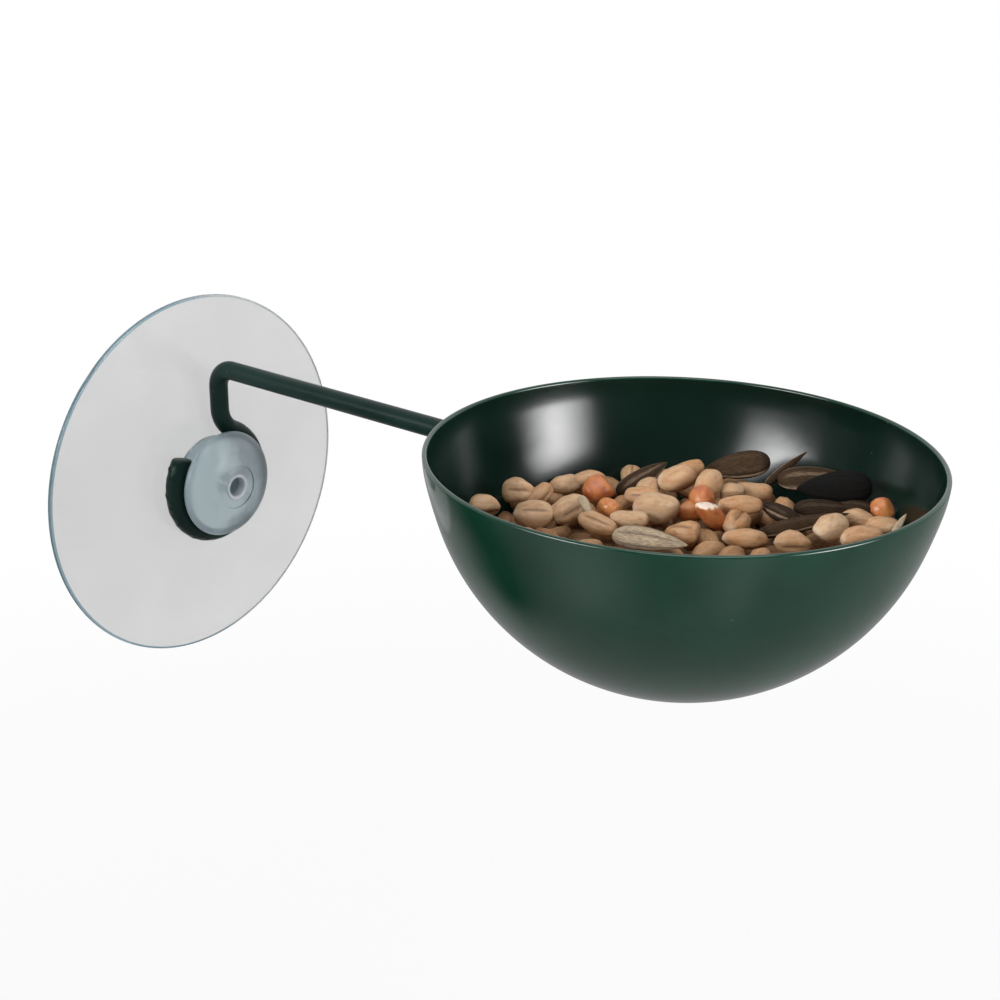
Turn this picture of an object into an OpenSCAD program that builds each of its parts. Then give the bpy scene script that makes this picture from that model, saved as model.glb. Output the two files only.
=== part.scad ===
// Window bird feeder: an open steel bowl on a bent wire arm that hooks round the neck of a clear suction cup.
// The origin is the centre of the cup's sealing plane. The window is the plane Y = 0, the feeder reaches out
// along -Y, and +Z is up. All sizes are in millimetres.

/* [Bowl] */
// Outer diameter of the bowl at its rim
bowl_d = 88; // [80:1:96]
// Outer depth of the bowl, from the rim down to the bottom
bowl_depth = 41.7; // [40:0.1:46]
// Lean of the upper wall, in degrees off vertical
bowl_flare = 11.5; // [8:0.5:14]
// Thickness of the pressed steel sheet
bowl_wall = 0.9; // [0.6:0.1:1.5]
// Distance from the window to the bowl's axis
bowl_reach = 124.2; // [112:0.2:150]
// Height of the rim above the middle of the arm
rim_above_arm = 9; // [7:0.1:14]

/* [Wire arm] */
// Diameter of the wire
wire_d = 4; // [3:0.1:5]
// Sideways distance of the arm from the cup's axis
arm_offset = 2; // [0:0.1:4]
// Centre-line radius of the bend from the arm into the drop
arm_bend_r = 4.5; // [3:0.1:6]
// Length of the straight drop between the arm's bend and the hook's bend
hook_drop = 4.7; // [2:0.1:15]
// Centre-line radius of the bend from the drop into the hook
hook_bend_r = 6.6; // [4:0.1:9]
// Angle at which the hook's cut end stops, counted from +X towards +Z
hook_end_angle = 141.5; // [120:0.5:170]
// Play between the wire and the cup's neck, head and disc
hook_gap = 0.22; // [0.1:0.02:0.5]
// Radius of the weld bead round the arm's end
weld_r = 1.3; // [0.8:0.1:2]

/* [Suction cup] */
// Outer diameter of the disc
cup_d = 80.2; // [70:0.2:90]
// Thickness of the disc at its edge
cup_edge = 1; // [0.6:0.1:1.5]
// Height of the disc's middle above the window
cup_mid = 3.6; // [3:0.1:5]
// Diameter of the flat land in the middle of the disc
land_d = 32; // [30:0.5:40]
// Depth of the hollow behind the disc
cup_hollow = 1.5; // [0.5:0.1:2]
// Width of the flat sealing lip
cup_lip = 3.5; // [2:0.1:6]
// Depth of the flat trimmed on the disc's edge at the moulding gate
gate_depth = 0.2; // [0.1:0.05:0.5]
// Angle of the gate flat, counted from +X towards +Z
gate_angle = 134; // [0:1:180]
// Diameter of the neck that the hook turns on
neck_d = 19; // [16:0.5:20]
// Distance that the head stands out beyond the neck
head_overhang = 2.15; // [1:0.05:4]
// Radius of the head's rounded edge
head_edge_r = 1.3; // [1:0.05:1.6]
// Height of the head's dome above the middle of its edge
head_crown = 3.8; // [3:0.1:5]
// Diameter of the shallow dish on the front of the head
dish_d = 12; // [9:0.2:14]
// Depth of the dish below its own edge
dish_depth = 0.3; // [0.1:0.05:0.6]
// Diameter of the pin hole in the head
hole_d = 4.2; // [3:0.1:5]
// Depth of the pin hole below the dish
hole_depth = 6; // [4:0.5:7]
// Thickness of the raised ring round the pin hole
hole_ring = 0.8; // [0.4:0.1:1.2]

/* [Seed mix] */
// Depth of the seed bed's edge below the rim
seed_drop = 20; // [17:0.5:28]
// Height of the heap's middle above its edge
heap_rise = 4; // [2:0.5:8]
// Clear distance between the seed bed and the bowl
bed_gap = 0.3; // [0.2:0.05:0.6]
// Clear distance between the seeds on top and the bed
seed_gap = 0.15; // [0.1:0.05:0.4]
// Length of a wheat grain
wheat_l = 6.4; // [5:0.1:7]
// Thickness of a wheat grain at its blunt end
wheat_d = 3.6; // [3:0.1:4]
// Thickness of a wheat grain at its narrow end
wheat_tip_d = 2.4; // [1.5:0.1:2.8]
// Length of a sunflower seed
sunflower_l = 11; // [8:0.5:12]
// Width of a sunflower seed at its broad end
sunflower_w = 5.4; // [4:0.1:6]
// Width of a sunflower seed at its tip
sunflower_tip_d = 1.4; // [0.8:0.1:2]
// Thickness of a sunflower seed
sunflower_t = 3; // [2:0.1:3.5]
// Diameter of a piece of maize
maize_d = 5.6; // [4:0.1:6.5]

/* [Hidden] */
$fn = 180;
// Finer sides aren't needed on the small seeds
seed_fn = 48;
// Reach past a face that a cut takes, so that the cut goes clean through
over = 1;
// Swell of the wire where two of its stretches run into each other
wire_swell = 0.04;

// Hook: a ring round the neck, in a plane between the disc and the head
wire_r = wire_d / 2;
ring_r = neck_d / 2 + hook_gap + wire_r;
ring_out = cup_mid + hook_gap + wire_r;
hook_start_angle = acos((arm_offset + hook_bend_r) / (ring_r + hook_bend_r));
hook_bend_z = (ring_r + hook_bend_r) * sin(hook_start_angle);
arm_rise = hook_bend_z + hook_drop + arm_bend_r;

// Cup: heights are measured from the window
cup_r = cup_d / 2;
head_r = neck_d / 2 + head_overhang;
head_back = ring_out + wire_r + hook_gap;
head_mid = head_back + head_edge_r;
head_rim_r = head_r - head_edge_r;
dome_r = (head_rim_r ^ 2 + head_crown ^ 2 - head_edge_r ^ 2) / (2 * (head_crown - head_edge_r));
dome_centre = head_mid + head_crown - dome_r;
dish_edge = dome_centre + sqrt(dome_r ^ 2 - (dish_d / 2) ^ 2);
dish_floor = dish_edge - dish_depth;

// Bowl: a ball-shaped bottom that runs into a straight leaning wall
rim_z = arm_rise + rim_above_arm;
edge_r = bowl_wall / 2;
flare_sin = sin(bowl_flare);
flare_cos = cos(bowl_flare);
wall_top_z = rim_z - edge_r;
wall_top_r = bowl_d / 2 - edge_r;
ball_share = (1 - flare_sin) / flare_cos;
wall_line_r = wall_top_r + edge_r / flare_cos;
flare_h = (bowl_depth - edge_r - wall_line_r * ball_share) / (1 - tan(bowl_flare) * ball_share);
ball_r = (wall_line_r - flare_h * tan(bowl_flare)) / flare_cos;
ball_z = rim_z - bowl_depth + ball_r;
tangent_z = ball_z - ball_r * flare_sin;

// Radius of the bowl's outer face at a height
function bowl_r_at(z) =
    z < tangent_z ? sqrt(ball_r ^ 2 - (ball_z - z) ^ 2)
                  : ball_r * flare_cos + (z - tangent_z) * tan(bowl_flare);

arm_end = bowl_reach - sqrt(bowl_r_at(arm_rise) ^ 2 - arm_offset ^ 2);

// Seed heap: the bed's top is part of a large ball
bed_ball_r = ball_r - bowl_wall - bed_gap;
bed_edge_z = rim_z - seed_drop;
bed_edge_r = sqrt(bed_ball_r ^ 2 - (ball_z - bed_edge_z) ^ 2);
heap_ball_r = (bed_edge_r ^ 2 + heap_rise ^ 2) / (2 * heap_rise);
heap_ball_z = bed_edge_z + heap_rise - heap_ball_r;

// Places of the seeds on the heap, from the bowl's axis: [x, y, turn about the upright]
sunflower_spots = [
    [14, 18, 7],
    [27, 8, -24],
    [28, -4, -76],
    [26, -17, -84],
    [17, -10, -50],
    [7, -18, -30],
    [-8, 1, -45]
];
maize_spots = [
    [1, 20, 20],
    [-3, 12, 70],
    [12, 4, 45],
    [20, -25, 10]
];
// Places tried for the wheat grains: a spiral that fills the heap, with a new turn at each
golden_angle = 180 * (3 - sqrt(5));
wheat_step = wheat_l / 5;
wheat_turn = 97;
wheat_tries = floor((bed_edge_r / wheat_step) ^ 2);

function wheat_try(i) =
    let (out = wheat_step * sqrt(i), heading = i * golden_angle)
    [out * cos(heading), out * sin(heading), i * wheat_turn];

// A lying seed seen from above, as the line between the middles of its round ends and its radius
function footprint(spot, length, thickness) =
    let (half = (length - thickness) / 2 * [cos(spot.z), sin(spot.z)], middle = [spot.x, spot.y])
    [middle - half, middle + half, thickness / 2];

function point_off_line(p, a, b) =
    let (along = (b - a) * (b - a) == 0 ? 0 : (p - a) * (b - a) / ((b - a) * (b - a)))
    norm(p - a - min(1, max(0, along)) * (b - a));

function between(f, g) =
    min(
        point_off_line(f[0], g[0], g[1]),
        point_off_line(f[1], g[0], g[1]),
        point_off_line(g[0], f[0], f[1]),
        point_off_line(g[1], f[0], f[1])
    ) - f[2] - g[2];

// True where a seed lies clear of every seed in a list and inside the bed's edge
function lies_free(f, others) =
    max(norm(f[0]), norm(f[1])) + f[2] < bed_edge_r - bed_gap
    && min([for (g = others) between(f, g)]) > seed_gap;

large_seeds = concat(
    [for (spot = sunflower_spots) footprint(spot, sunflower_l, sunflower_w)],
    [for (spot = maize_spots) footprint(spot, maize_d, maize_d)]
);

// Goes through the tries in turn and keeps each one that lies free of those kept before it
function wheat_spots(i = 0, kept = [], taken = large_seeds) =
    i >= wheat_tries ? kept
    : let (spot = wheat_try(i), f = footprint(spot, wheat_l, wheat_d))
      lies_free(f, taken) ? wheat_spots(i + 1, concat(kept, [spot]), concat(taken, [f]))
                          : wheat_spots(i + 1, kept, taken);

// Turns a shape made upright round Z so that it stands out from the window
module out_from_window() {
    rotate([90, 0, 0])
        children();
}

// A stretch of bent wire in the XY plane, from one angle to another
module wire_bend(bend_r, from_angle, to_angle) {
    rotate_extrude(angle = to_angle - from_angle, start = from_angle)
        translate([bend_r, 0])
            circle(r = wire_r);
}

// Ball in which two stretches of wire meet
module wire_joint() {
    sphere(r = wire_r + wire_swell);
}

// Half outline of the bowl's body, filled, with its face moved inwards
module bowl_half(inset, top_z) {
    face_r = ball_r - inset;
    join_r = face_r * flare_cos;
    join_z = ball_z - face_r * flare_sin;
    intersection() {
        translate([0, ball_z])
            circle(r = face_r);
        translate([0, ball_z - 2 * ball_r])
            square([2 * ball_r, join_z - ball_z + 2 * ball_r]);
    }
    polygon([
        [0, join_z],
        [join_r, join_z],
        [join_r + (top_z - join_z) * tan(bowl_flare), top_z],
        [0, top_z]
    ]);
}

// The bowl's body as a filled solid, which trims what is welded to it
module bowl_filled() {
    translate([0, -bowl_reach, 0])
        rotate_extrude()
            bowl_half(0, wall_top_z);
}

// The arm's straight wire, run on to the bowl's axis
module arm_wire() {
    translate([arm_offset, 0, arm_rise])
        out_from_window()
            translate([0, 0, ring_out + arm_bend_r])
                cylinder(r = wire_r, h = bowl_reach - ring_out - arm_bend_r);
}

// Carries a shape from the origin to the heap's face, upright to it
module on_heap(spot) {
    heading = atan2(spot.y, spot.x);
    translate([0, -bowl_reach, heap_ball_z])
        rotate([0, 0, heading])
            rotate([0, asin(norm([spot.x, spot.y]) / heap_ball_r), 0])
                translate([0, 0, heap_ball_r + seed_gap])
                    rotate([0, 0, spot.z - heading])
                        children();
}

// A seed along X: two balls, one at each end, with a cone that is tangent to both
module teardrop(length, wide_d, narrow_d) {
    wide_r = wide_d / 2;
    narrow_r = narrow_d / 2;
    wide_y = wide_r - length / 2;
    narrow_y = length / 2 - narrow_r;
    lean = asin((wide_r - narrow_r) / (narrow_y - wide_y));
    rotate([0, 90, 0])
        rotate_extrude($fn = seed_fn)
            intersection() {
                union() {
                    translate([0, wide_y])
                        circle(r = wide_r, $fn = seed_fn);
                    translate([0, narrow_y])
                        circle(r = narrow_r, $fn = seed_fn);
                    polygon([
                        [0, wide_y],
                        [wide_r * cos(lean), wide_y + wide_r * sin(lean)],
                        [narrow_r * cos(lean), narrow_y + narrow_r * sin(lean)],
                        [0, narrow_y]
                    ]);
                }
                translate([0, -length / 2])
                    square([wide_d, length]);
            }
}

// Disc, neck and domed head in one clear moulding, with a flat sealing lip and a hollow back
module suction_cup() {
    color([0.80, 0.88, 0.90, 0.5])
        difference() {
            out_from_window()
                rotate_extrude()
                    difference() {
                        union() {
                            polygon([
                                [0, cup_hollow],
                                [cup_r - cup_lip, 0],
                                [cup_r, 0],
                                [cup_r, cup_edge],
                                [land_d / 2, cup_mid],
                                [neck_d / 2, cup_mid],
                                [neck_d / 2, head_mid],
                                [0, head_mid]
                            ]);
                            cup_head_half();
                        }
                        translate([0, dish_floor - hole_depth])
                            square([hole_d / 2, hole_depth + head_crown]);
                    }
            gate_cut();
        }
}

// Half outline of the mushroom head: rounded edge, dome, dish and the raised ring at the hole
module cup_head_half() {
    difference() {
        union() {
            translate([head_rim_r, head_mid])
                circle(r = head_edge_r);
            translate([0, head_back])
                square([head_rim_r, head_edge_r]);
            intersection() {
                translate([0, dome_centre])
                    circle(r = dome_r);
                translate([0, head_mid])
                    square([head_rim_r * dome_r / (dome_r - head_edge_r), head_crown + over]);
            }
        }
        translate([0, dish_floor])
            square([dish_d / 2, head_crown]);
    }
    translate([hole_d / 2, dish_floor - over])
        square([hole_ring, over]);
    translate([hole_d / 2 + hole_ring / 2, dish_floor])
        circle(d = hole_ring);
}

// Block that trims the disc's edge flat at the moulding gate
module gate_cut() {
    rotate([0, -gate_angle, 0])
        translate([cup_r - gate_depth, -cup_mid, -cup_r])
            cube([cup_r, cup_mid + over, cup_d]);
}

// One steel wire: hook round the neck, drop, bend and straight arm, trimmed to the bowl's wall
module wire_arm() {
    color([0.07, 0.22, 0.16])
        difference() {
            union() {
                out_from_window()
                    translate([0, 0, ring_out])
                        hook();
                translate([arm_offset, -ring_out - arm_bend_r, arm_rise - arm_bend_r])
                    rotate([90, 0, 90])
                        arm_bend();
                arm_wire();
            }
            bowl_filled();
        }
}

// Ring, bend and straight drop of the hook, flat in the XY plane round the cup's axis
module hook() {
    wire_bend(ring_r, hook_end_angle, 360 + hook_start_angle);
    rotate(hook_start_angle)
        translate([ring_r, 0])
            wire_joint();
    translate([arm_offset + hook_bend_r, hook_bend_z]) {
        wire_bend(hook_bend_r, 180, 180 + hook_start_angle);
        translate([-hook_bend_r, 0]) {
            wire_joint();
            rotate([-90, 0, 0])
                cylinder(r = wire_r, h = hook_drop);
        }
    }
}

// Quarter bend from the drop into the arm, round the origin of the XY plane
module arm_bend() {
    wire_bend(arm_bend_r, 0, 90);
    for (turn = [0, 90])
        rotate(turn)
            translate([arm_bend_r, 0])
                wire_joint();
}

// Painted weld bead that closes the corner between the arm's end and the bowl's wall
module arm_weld() {
    color([0.08, 0.24, 0.17])
        difference() {
            translate([arm_offset, -arm_end, arm_rise])
                out_from_window()
                    rotate_extrude()
                        translate([wire_r, 0])
                            circle(r = weld_r);
            arm_wire();
            bowl_filled();
        }
}

// Pressed sheet bowl with a round bottom, a leaning upper wall and a rounded rim
module bowl() {
    color([0.06, 0.20, 0.15])
        translate([0, -bowl_reach, 0])
            rotate_extrude() {
                difference() {
                    bowl_half(0, wall_top_z);
                    bowl_half(bowl_wall, wall_top_z + over);
                }
                translate([wall_top_r, wall_top_z])
                    circle(r = edge_r);
            }
}

// Lower part of the seed heap, one solid in place of the many grains underneath
module seed_bed() {
    color([0.55, 0.42, 0.28])
        translate([0, -bowl_reach, 0])
            rotate_extrude()
                intersection() {
                    translate([0, ball_z])
                        circle(r = bed_ball_r);
                    translate([0, heap_ball_z])
                        circle(r = heap_ball_r);
                    translate([0, ball_z - ball_r])
                        square([ball_r, ball_r]);
                }
}

// Plump tan grains laid over the heap wherever they lie free
module wheat_grains() {
    color([0.76, 0.58, 0.38])
        for (spot = wheat_spots())
            on_heap(spot)
                translate([0, 0, wheat_d / 2])
                    teardrop(wheat_l, wheat_d, wheat_tip_d);
}

// Flat pointed seeds with dark husks
module sunflower_seeds() {
    color([0.17, 0.15, 0.14])
        for (spot = sunflower_spots)
            on_heap(spot)
                translate([0, 0, sunflower_t / 2])
                    intersection() {
                        teardrop(sunflower_l, sunflower_w, sunflower_tip_d);
                        cube([sunflower_l, sunflower_w, sunflower_t], center = true);
                    }
}

// Broken kernels with a flat foot
module maize_pieces() {
    color([0.80, 0.45, 0.20])
        for (spot = maize_spots)
            on_heap(spot)
                intersection() {
                    translate([0, 0, maize_d / 4])
                        sphere(d = maize_d, $fn = seed_fn);
                    translate([-maize_d / 2, -maize_d / 2, 0])
                        cube([maize_d, maize_d, maize_d / 2]);
                }
}

suction_cup();
wire_arm();
arm_weld();
bowl();
seed_bed();
wheat_grains();
sunflower_seeds();
maize_pieces();
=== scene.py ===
"""Looks of a window bird feeder: a green bowl of seed on a bent wire that hooks round a clear suction cup.

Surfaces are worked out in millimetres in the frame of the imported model. The origin is the centre of the
cup's sealing plane, the window is the plane Y = 0, the feeder reaches out along -Y, and +Z is up.
"""

import functools
import logging
import math
from dataclasses import dataclass, field
from enum import Enum
from typing import Any

import bpy
import numpy as np
import numpy.typing as npt
from mathutils import Matrix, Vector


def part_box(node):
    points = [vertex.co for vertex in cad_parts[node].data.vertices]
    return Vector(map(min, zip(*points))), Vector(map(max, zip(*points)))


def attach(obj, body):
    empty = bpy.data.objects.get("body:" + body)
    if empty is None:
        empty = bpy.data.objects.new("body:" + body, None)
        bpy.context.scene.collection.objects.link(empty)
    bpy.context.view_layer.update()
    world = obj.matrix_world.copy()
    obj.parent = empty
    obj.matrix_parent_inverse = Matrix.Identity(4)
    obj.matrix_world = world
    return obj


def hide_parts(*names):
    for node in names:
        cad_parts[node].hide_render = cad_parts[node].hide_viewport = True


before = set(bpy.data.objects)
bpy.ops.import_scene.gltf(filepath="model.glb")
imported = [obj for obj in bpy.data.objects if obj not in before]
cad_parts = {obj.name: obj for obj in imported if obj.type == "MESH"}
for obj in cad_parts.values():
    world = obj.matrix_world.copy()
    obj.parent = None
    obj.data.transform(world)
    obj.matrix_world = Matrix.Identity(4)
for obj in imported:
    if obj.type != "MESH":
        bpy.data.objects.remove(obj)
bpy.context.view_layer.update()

Array = npt.NDArray[np.float64]
Numbers = npt.NDArray[np.int64]
Colour = tuple[float, float, float]
Range = tuple[float, float]
Node = bpy.types.Node
Socket = bpy.types.NodeSocket

MM = 0.001
RIGHT = np.array([1.0, 0.0, 0.0])
INTO_WINDOW = np.array([0.0, 1.0, 0.0])
UP = np.array([0.0, 0.0, 1.0])
WHITE: Colour = (1.0, 1.0, 1.0)

NUMBER = "NodeSocketFloat"
COLOUR = "NodeSocketColor"
VECTOR = "NodeSocketVector"
SKIN_OUTPUTS = {"Color": COLOUR, "Roughness": NUMBER, "Height": NUMBER}

SEED_PLACE = "seed_place"
SEED_TINT = "seed_tint"
HUSK_TONE = "husk_tone"
HUSK_STRIPE = "husk_stripe"
FLOURY = "floury"
LOG = logging.getLogger("window_feeder")


class Body(Enum):
    """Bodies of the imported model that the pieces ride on."""

    CUP = "cup"
    FEEDER = "feeder"
    SEED_MIX = "seed_mix"


class Husk(Enum):
    """Kinds of sunflower husk, each as its tone from black to pale and the strength of its stripes."""

    BLACK = (0.02, 0.0)
    GREY = (0.24, 0.12)
    DARK_STRIPED = (0.36, 0.5)
    BROWN = (0.45, 0.06)
    PALE_STRIPED = (0.95, 0.8)
    CHAFF = (0.9, 0.1)


# Surfaces


@dataclass
class Surface:
    """Points in millimetres and the faces between them.

    Attributes:
        points: one row of x, y and z for each point.
        quads: point numbers of the four-cornered faces.
        triangles: point numbers of the three-cornered faces.
        marks: values for each point that a finish reads, by name.
    """

    points: Array
    quads: Numbers
    triangles: Numbers
    marks: dict[str, Array] = field(default_factory=dict)

    def to_mesh(self, name: str) -> bpy.types.Mesh:
        """Puts the surface into a new smooth mesh, in metres.

        Args:
            name: the mesh's name.

        Returns:
            The mesh, with one attribute for each mark.
        """
        corners = np.concatenate([self.quads.ravel(), self.triangles.ravel()]).astype(np.int32)
        quad_starts = 4 * np.arange(len(self.quads))
        triangle_starts = 4 * len(self.quads) + 3 * np.arange(len(self.triangles))
        starts = np.concatenate([quad_starts, triangle_starts]).astype(np.int32)
        mesh = bpy.data.meshes.new(name)
        mesh.vertices.add(len(self.points))
        mesh.vertices.foreach_set("co", (self.points * MM).astype(np.float32).ravel())
        mesh.loops.add(len(corners))
        mesh.loops.foreach_set("vertex_index", corners)
        mesh.polygons.add(len(starts))
        mesh.polygons.foreach_set("loop_start", starts)
        mesh.polygons.foreach_set("use_smooth", np.ones(len(starts), dtype=bool))
        for mark, values in self.marks.items():
            is_vector = values.ndim == 2
            made = mesh.attributes.new(mark, "FLOAT_VECTOR" if is_vector else "FLOAT", "POINT")
            made.data.foreach_set("vector" if is_vector else "value", values.astype(np.float32).ravel())
        mesh.update(calc_edges=True)
        mesh.validate()
        return mesh


def points_at(x: Array | float, y: Array | float, z: Array | float) -> Array:
    """Points from their x, y and z, where what is given once is repeated."""
    return np.stack(np.broadcast_arrays(x, y, z), axis=-1)


def unit(vectors: Array) -> Array:
    """Vectors divided by their lengths."""
    return vectors / np.linalg.norm(vectors, axis=-1, keepdims=True)


def full_turn(count: int) -> Array:
    """Angles of one turn in even steps, in radians, from 0 up to the step before the start."""
    return np.linspace(0, 2 * np.pi, count, endpoint=False)


def heading(azimuth: float, elevation: float = 0.0) -> Array:
    """Direction at an azimuth, from -Y towards +X, and an elevation, both in degrees."""
    turn, rise = math.radians(azimuth), math.radians(elevation)
    return np.array([math.sin(turn) * math.cos(rise), -math.cos(turn) * math.cos(rise), math.sin(rise)])


def closed_grid(rings: Array, first_pole: Array, last_pole: Array) -> Surface:
    """Closes copies of a ringed grid at both ends.

    A quad joins each point to the next one round its ring and to the ring after. A fan of triangles closes
    the first and the last ring at its pole. Faces point outwards where the rings turn right-handed about the
    direction from the first ring to the last.

    Args:
        rings: points by copy, ring, place round the ring, and x, y, z.
        first_pole: the point that closes each copy's first ring.
        last_pole: the point that closes each copy's last ring.

    Returns:
        One surface with every copy in it.
    """
    copies, rows, columns, _ = rings.shape
    per_copy = rows * columns + 2
    row, column = np.meshgrid(np.arange(rows - 1), np.arange(columns), indexing="ij")
    after = (column + 1) % columns
    corners = [row * columns + column, row * columns + after]
    corners += [(row + 1) * columns + after, (row + 1) * columns + column]
    quads = np.stack(corners, axis=-1).reshape(-1, 4)
    here = np.arange(columns)
    there = (here + 1) % columns
    last = (rows - 1) * columns
    first_fan = np.stack([np.full(columns, rows * columns), there, here], axis=-1)
    last_fan = np.stack([np.full(columns, rows * columns + 1), last + here, last + there], axis=-1)
    fans = np.concatenate([first_fan, last_fan])
    shift = (per_copy * np.arange(copies))[:, None, None]
    poles = np.stack([first_pole, last_pole], axis=1)
    points = np.concatenate([rings.reshape(copies, -1, 3), poles], axis=1)
    return Surface(points.reshape(-1, 3), (quads + shift).reshape(-1, 4), (fans + shift).reshape(-1, 3))


def joined(surfaces: list[Surface]) -> Surface:
    """Puts surfaces that have the same marks into one.

    Args:
        surfaces: the surfaces, in order.

    Returns:
        One surface with all their points and faces.
    """
    counts = [len(surface.points) for surface in surfaces]
    shifts = np.concatenate([[0], np.cumsum(counts)[:-1]])
    quads = [surface.quads + shift for surface, shift in zip(surfaces, shifts)]
    triangles = [surface.triangles + shift for surface, shift in zip(surfaces, shifts)]
    marks = {mark: np.concatenate([part.marks[mark] for part in surfaces]) for mark in surfaces[0].marks}
    points = np.concatenate([surface.points for surface in surfaces])
    return Surface(points, np.concatenate(quads), np.concatenate(triangles), marks)


def arc(centre: tuple[float, float], radius: float, start: float, end: float, count: int) -> Array:
    """Points on a circle: the centre plus the radius times cosine and sine of an evenly growing angle.

    Args:
        centre: the circle's centre.
        radius: its radius.
        start: first angle, in degrees.
        end: last angle, in degrees.
        count: number of points, both ends included.

    Returns:
        One row of two numbers for each point.
    """
    angle = np.radians(np.linspace(start, end, count))
    return np.stack([centre[0] + radius * np.cos(angle), centre[1] + radius * np.sin(angle)], axis=-1)


def line(start: tuple[float, float], end: tuple[float, float], count: int) -> Array:
    """Evenly spaced points from start to end, both included."""
    return np.linspace(np.array(start), np.array(end), count)


def turned(profile: Array, columns: int, across: Array, along: Array, axis: Array) -> Surface:
    """A profile carried round an axis.

    A point is its radius times the cosine of the turn along the first side direction, plus its radius times
    the sine along the second, plus its height along the axis. The profile's two ends lie on the axis.

    Args:
        profile: radius and height of each point, from one end on the axis to the other.
        columns: number of steps round the axis.
        across: first side direction.
        along: second side direction, a quarter turn on.
        axis: direction in which heights are counted.

    Returns:
        The closed surface.
    """
    turn = full_turn(columns)[:, None]
    side = np.cos(turn) * across + np.sin(turn) * along
    rings = profile[1:-1, 0, None, None] * side + profile[1:-1, 1, None, None] * axis
    return closed_grid(rings[None], profile[:1, 1:] * axis, profile[-1:, 1:] * axis)


def ripple(places: Array, waves: Array, phases: Array) -> Array:
    """Mean of cosines, each of the place's product with one wave vector plus one phase."""
    return np.cos(places @ waves.T + phases).mean(axis=-1)


def turn_matrix(angle: float, first: int, second: int) -> Array:
    """Matrix that turns points from one axis towards another.

    Args:
        angle: angle of the turn, in degrees.
        first: number of the axis that is turned.
        second: number of the axis that it is turned towards.

    Returns:
        The cosine in the two axes' own places, and the sine and its opposite where they cross.
    """
    cosine, sine = math.cos(math.radians(angle)), math.sin(math.radians(angle))
    matrix = np.eye(3)
    matrix[first, first] = matrix[second, second] = cosine
    matrix[second, first], matrix[first, second] = sine, -sine
    return matrix


def seed_matrix(turn: float, tilt: float, roll: float) -> Array:
    """Places a seed that lies along X: rolled about its length, tip tilted up, then turned about Z.

    Args:
        turn: angle about Z, in degrees.
        tilt: angle by which the +X end is raised, in degrees.
        roll: angle about the seed's own length, in degrees.

    Returns:
        The matrix that the seed's own points are multiplied by.
    """
    x, y, z = range(3)
    return turn_matrix(turn, x, y) @ turn_matrix(tilt, x, z) @ turn_matrix(roll, y, z)


# Node trees


class Graph:
    """A node tree with short calls that add nodes and join them."""

    def __init__(self, tree: bpy.types.NodeTree) -> None:
        """Keeps the tree that the nodes go into."""
        self.tree = tree

    def add(self, kind: str, inputs: dict[str | int, Any] | None = None, **settings: Any) -> Node:
        """Adds a node.

        Args:
            kind: the node's type name.
            inputs: by name or number, the value of an input or the output that feeds it.
            **settings: the node's own properties.

        Returns:
            The node.
        """
        node = self.tree.nodes.new(kind)
        for name, value in settings.items():
            setattr(node, name, value)
        self.fill(node, inputs or {})
        return node

    def fill(self, node: Node, inputs: dict[str | int, Any]) -> None:
        """Links outputs to a node's inputs, or sets these to plain values.

        Args:
            node: the node.
            inputs: by name or number, the value of an input or the output that feeds it.
        """
        for key, value in inputs.items():
            socket = node.inputs[key]
            if isinstance(value, Socket):
                self.tree.links.new(value, socket)
            elif socket.type == "RGBA" and len(value) == 3:
                socket.default_value = (*value, 1.0)
            else:
                socket.default_value = value

    def maths(self, operation: str, *numbers: Any) -> Socket:
        """Result of one operation on its numbers."""
        return self.add("ShaderNodeMath", dict(enumerate(numbers)), operation=operation).outputs[0]

    def carried(self, operation: str, *numbers: Any) -> Socket:
        """Result of an operation carried on from the first number to the last."""
        return functools.reduce(lambda so_far, number: self.maths(operation, so_far, number), numbers)

    def product(self, *numbers: Any) -> Socket:
        """Product of two or more numbers."""
        return self.carried("MULTIPLY", *numbers)

    def total(self, *numbers: Any) -> Socket:
        """Sum of two or more numbers."""
        return self.carried("ADD", *numbers)

    def vectors(self, operation: str, first: Any, second: Any) -> Any:
        """Outputs of one operation on two vectors."""
        return self.add("ShaderNodeVectorMath", {0: first, 1: second}, operation=operation).outputs

    def parts(self, vector: Any) -> Any:
        """The three numbers of a vector."""
        return self.add("ShaderNodeSeparateXYZ", {0: vector}).outputs

    def ease(self, value: Any, low: float, high: float, start: float = 0.0, end: float = 1.0) -> Socket:
        """Carries a number smoothly from start, at low, to end, at high."""
        inputs = {"Value": value, "From Min": low, "From Max": high, "To Min": start, "To Max": end}
        return self.add("ShaderNodeMapRange", inputs, interpolation_type="SMOOTHSTEP").outputs[0]

    def blend(self, share: Any, first: Any, second: Any, kind: str = "MIX") -> Socket:
        """Mixes two colours by a share of the second."""
        inputs = {0: share, 6: first, 7: second}
        return self.add("ShaderNodeMix", inputs, data_type="RGBA", blend_type=kind).outputs[2]

    def noise(self, place: Any, scale: Any, detail: float = 2.0) -> Socket:
        """Cloudy noise between 0 and 1 at a place."""
        return self.add("ShaderNodeTexNoise", {"Vector": place, "Scale": scale, "Detail": detail}).outputs[0]

    def bump(self, height: Any, strength: float, depth_mm: float) -> Socket:
        """Normal that follows a height between 0 and 1 over a depth in millimetres."""
        inputs = {"Height": height, "Strength": strength, "Distance": depth_mm * MM}
        return self.add("ShaderNodeBump", inputs).outputs[0]

    def place(self) -> Socket:
        """Place on the piece, in metres."""
        return self.add("ShaderNodeTexCoord").outputs["Object"]

    def mark(self, name: str, output: str = "Fac") -> Socket:
        """One of the surface's own marks, as a number or another output of its node."""
        return self.add("ShaderNodeAttribute", attribute_name=name).outputs[output]


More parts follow.
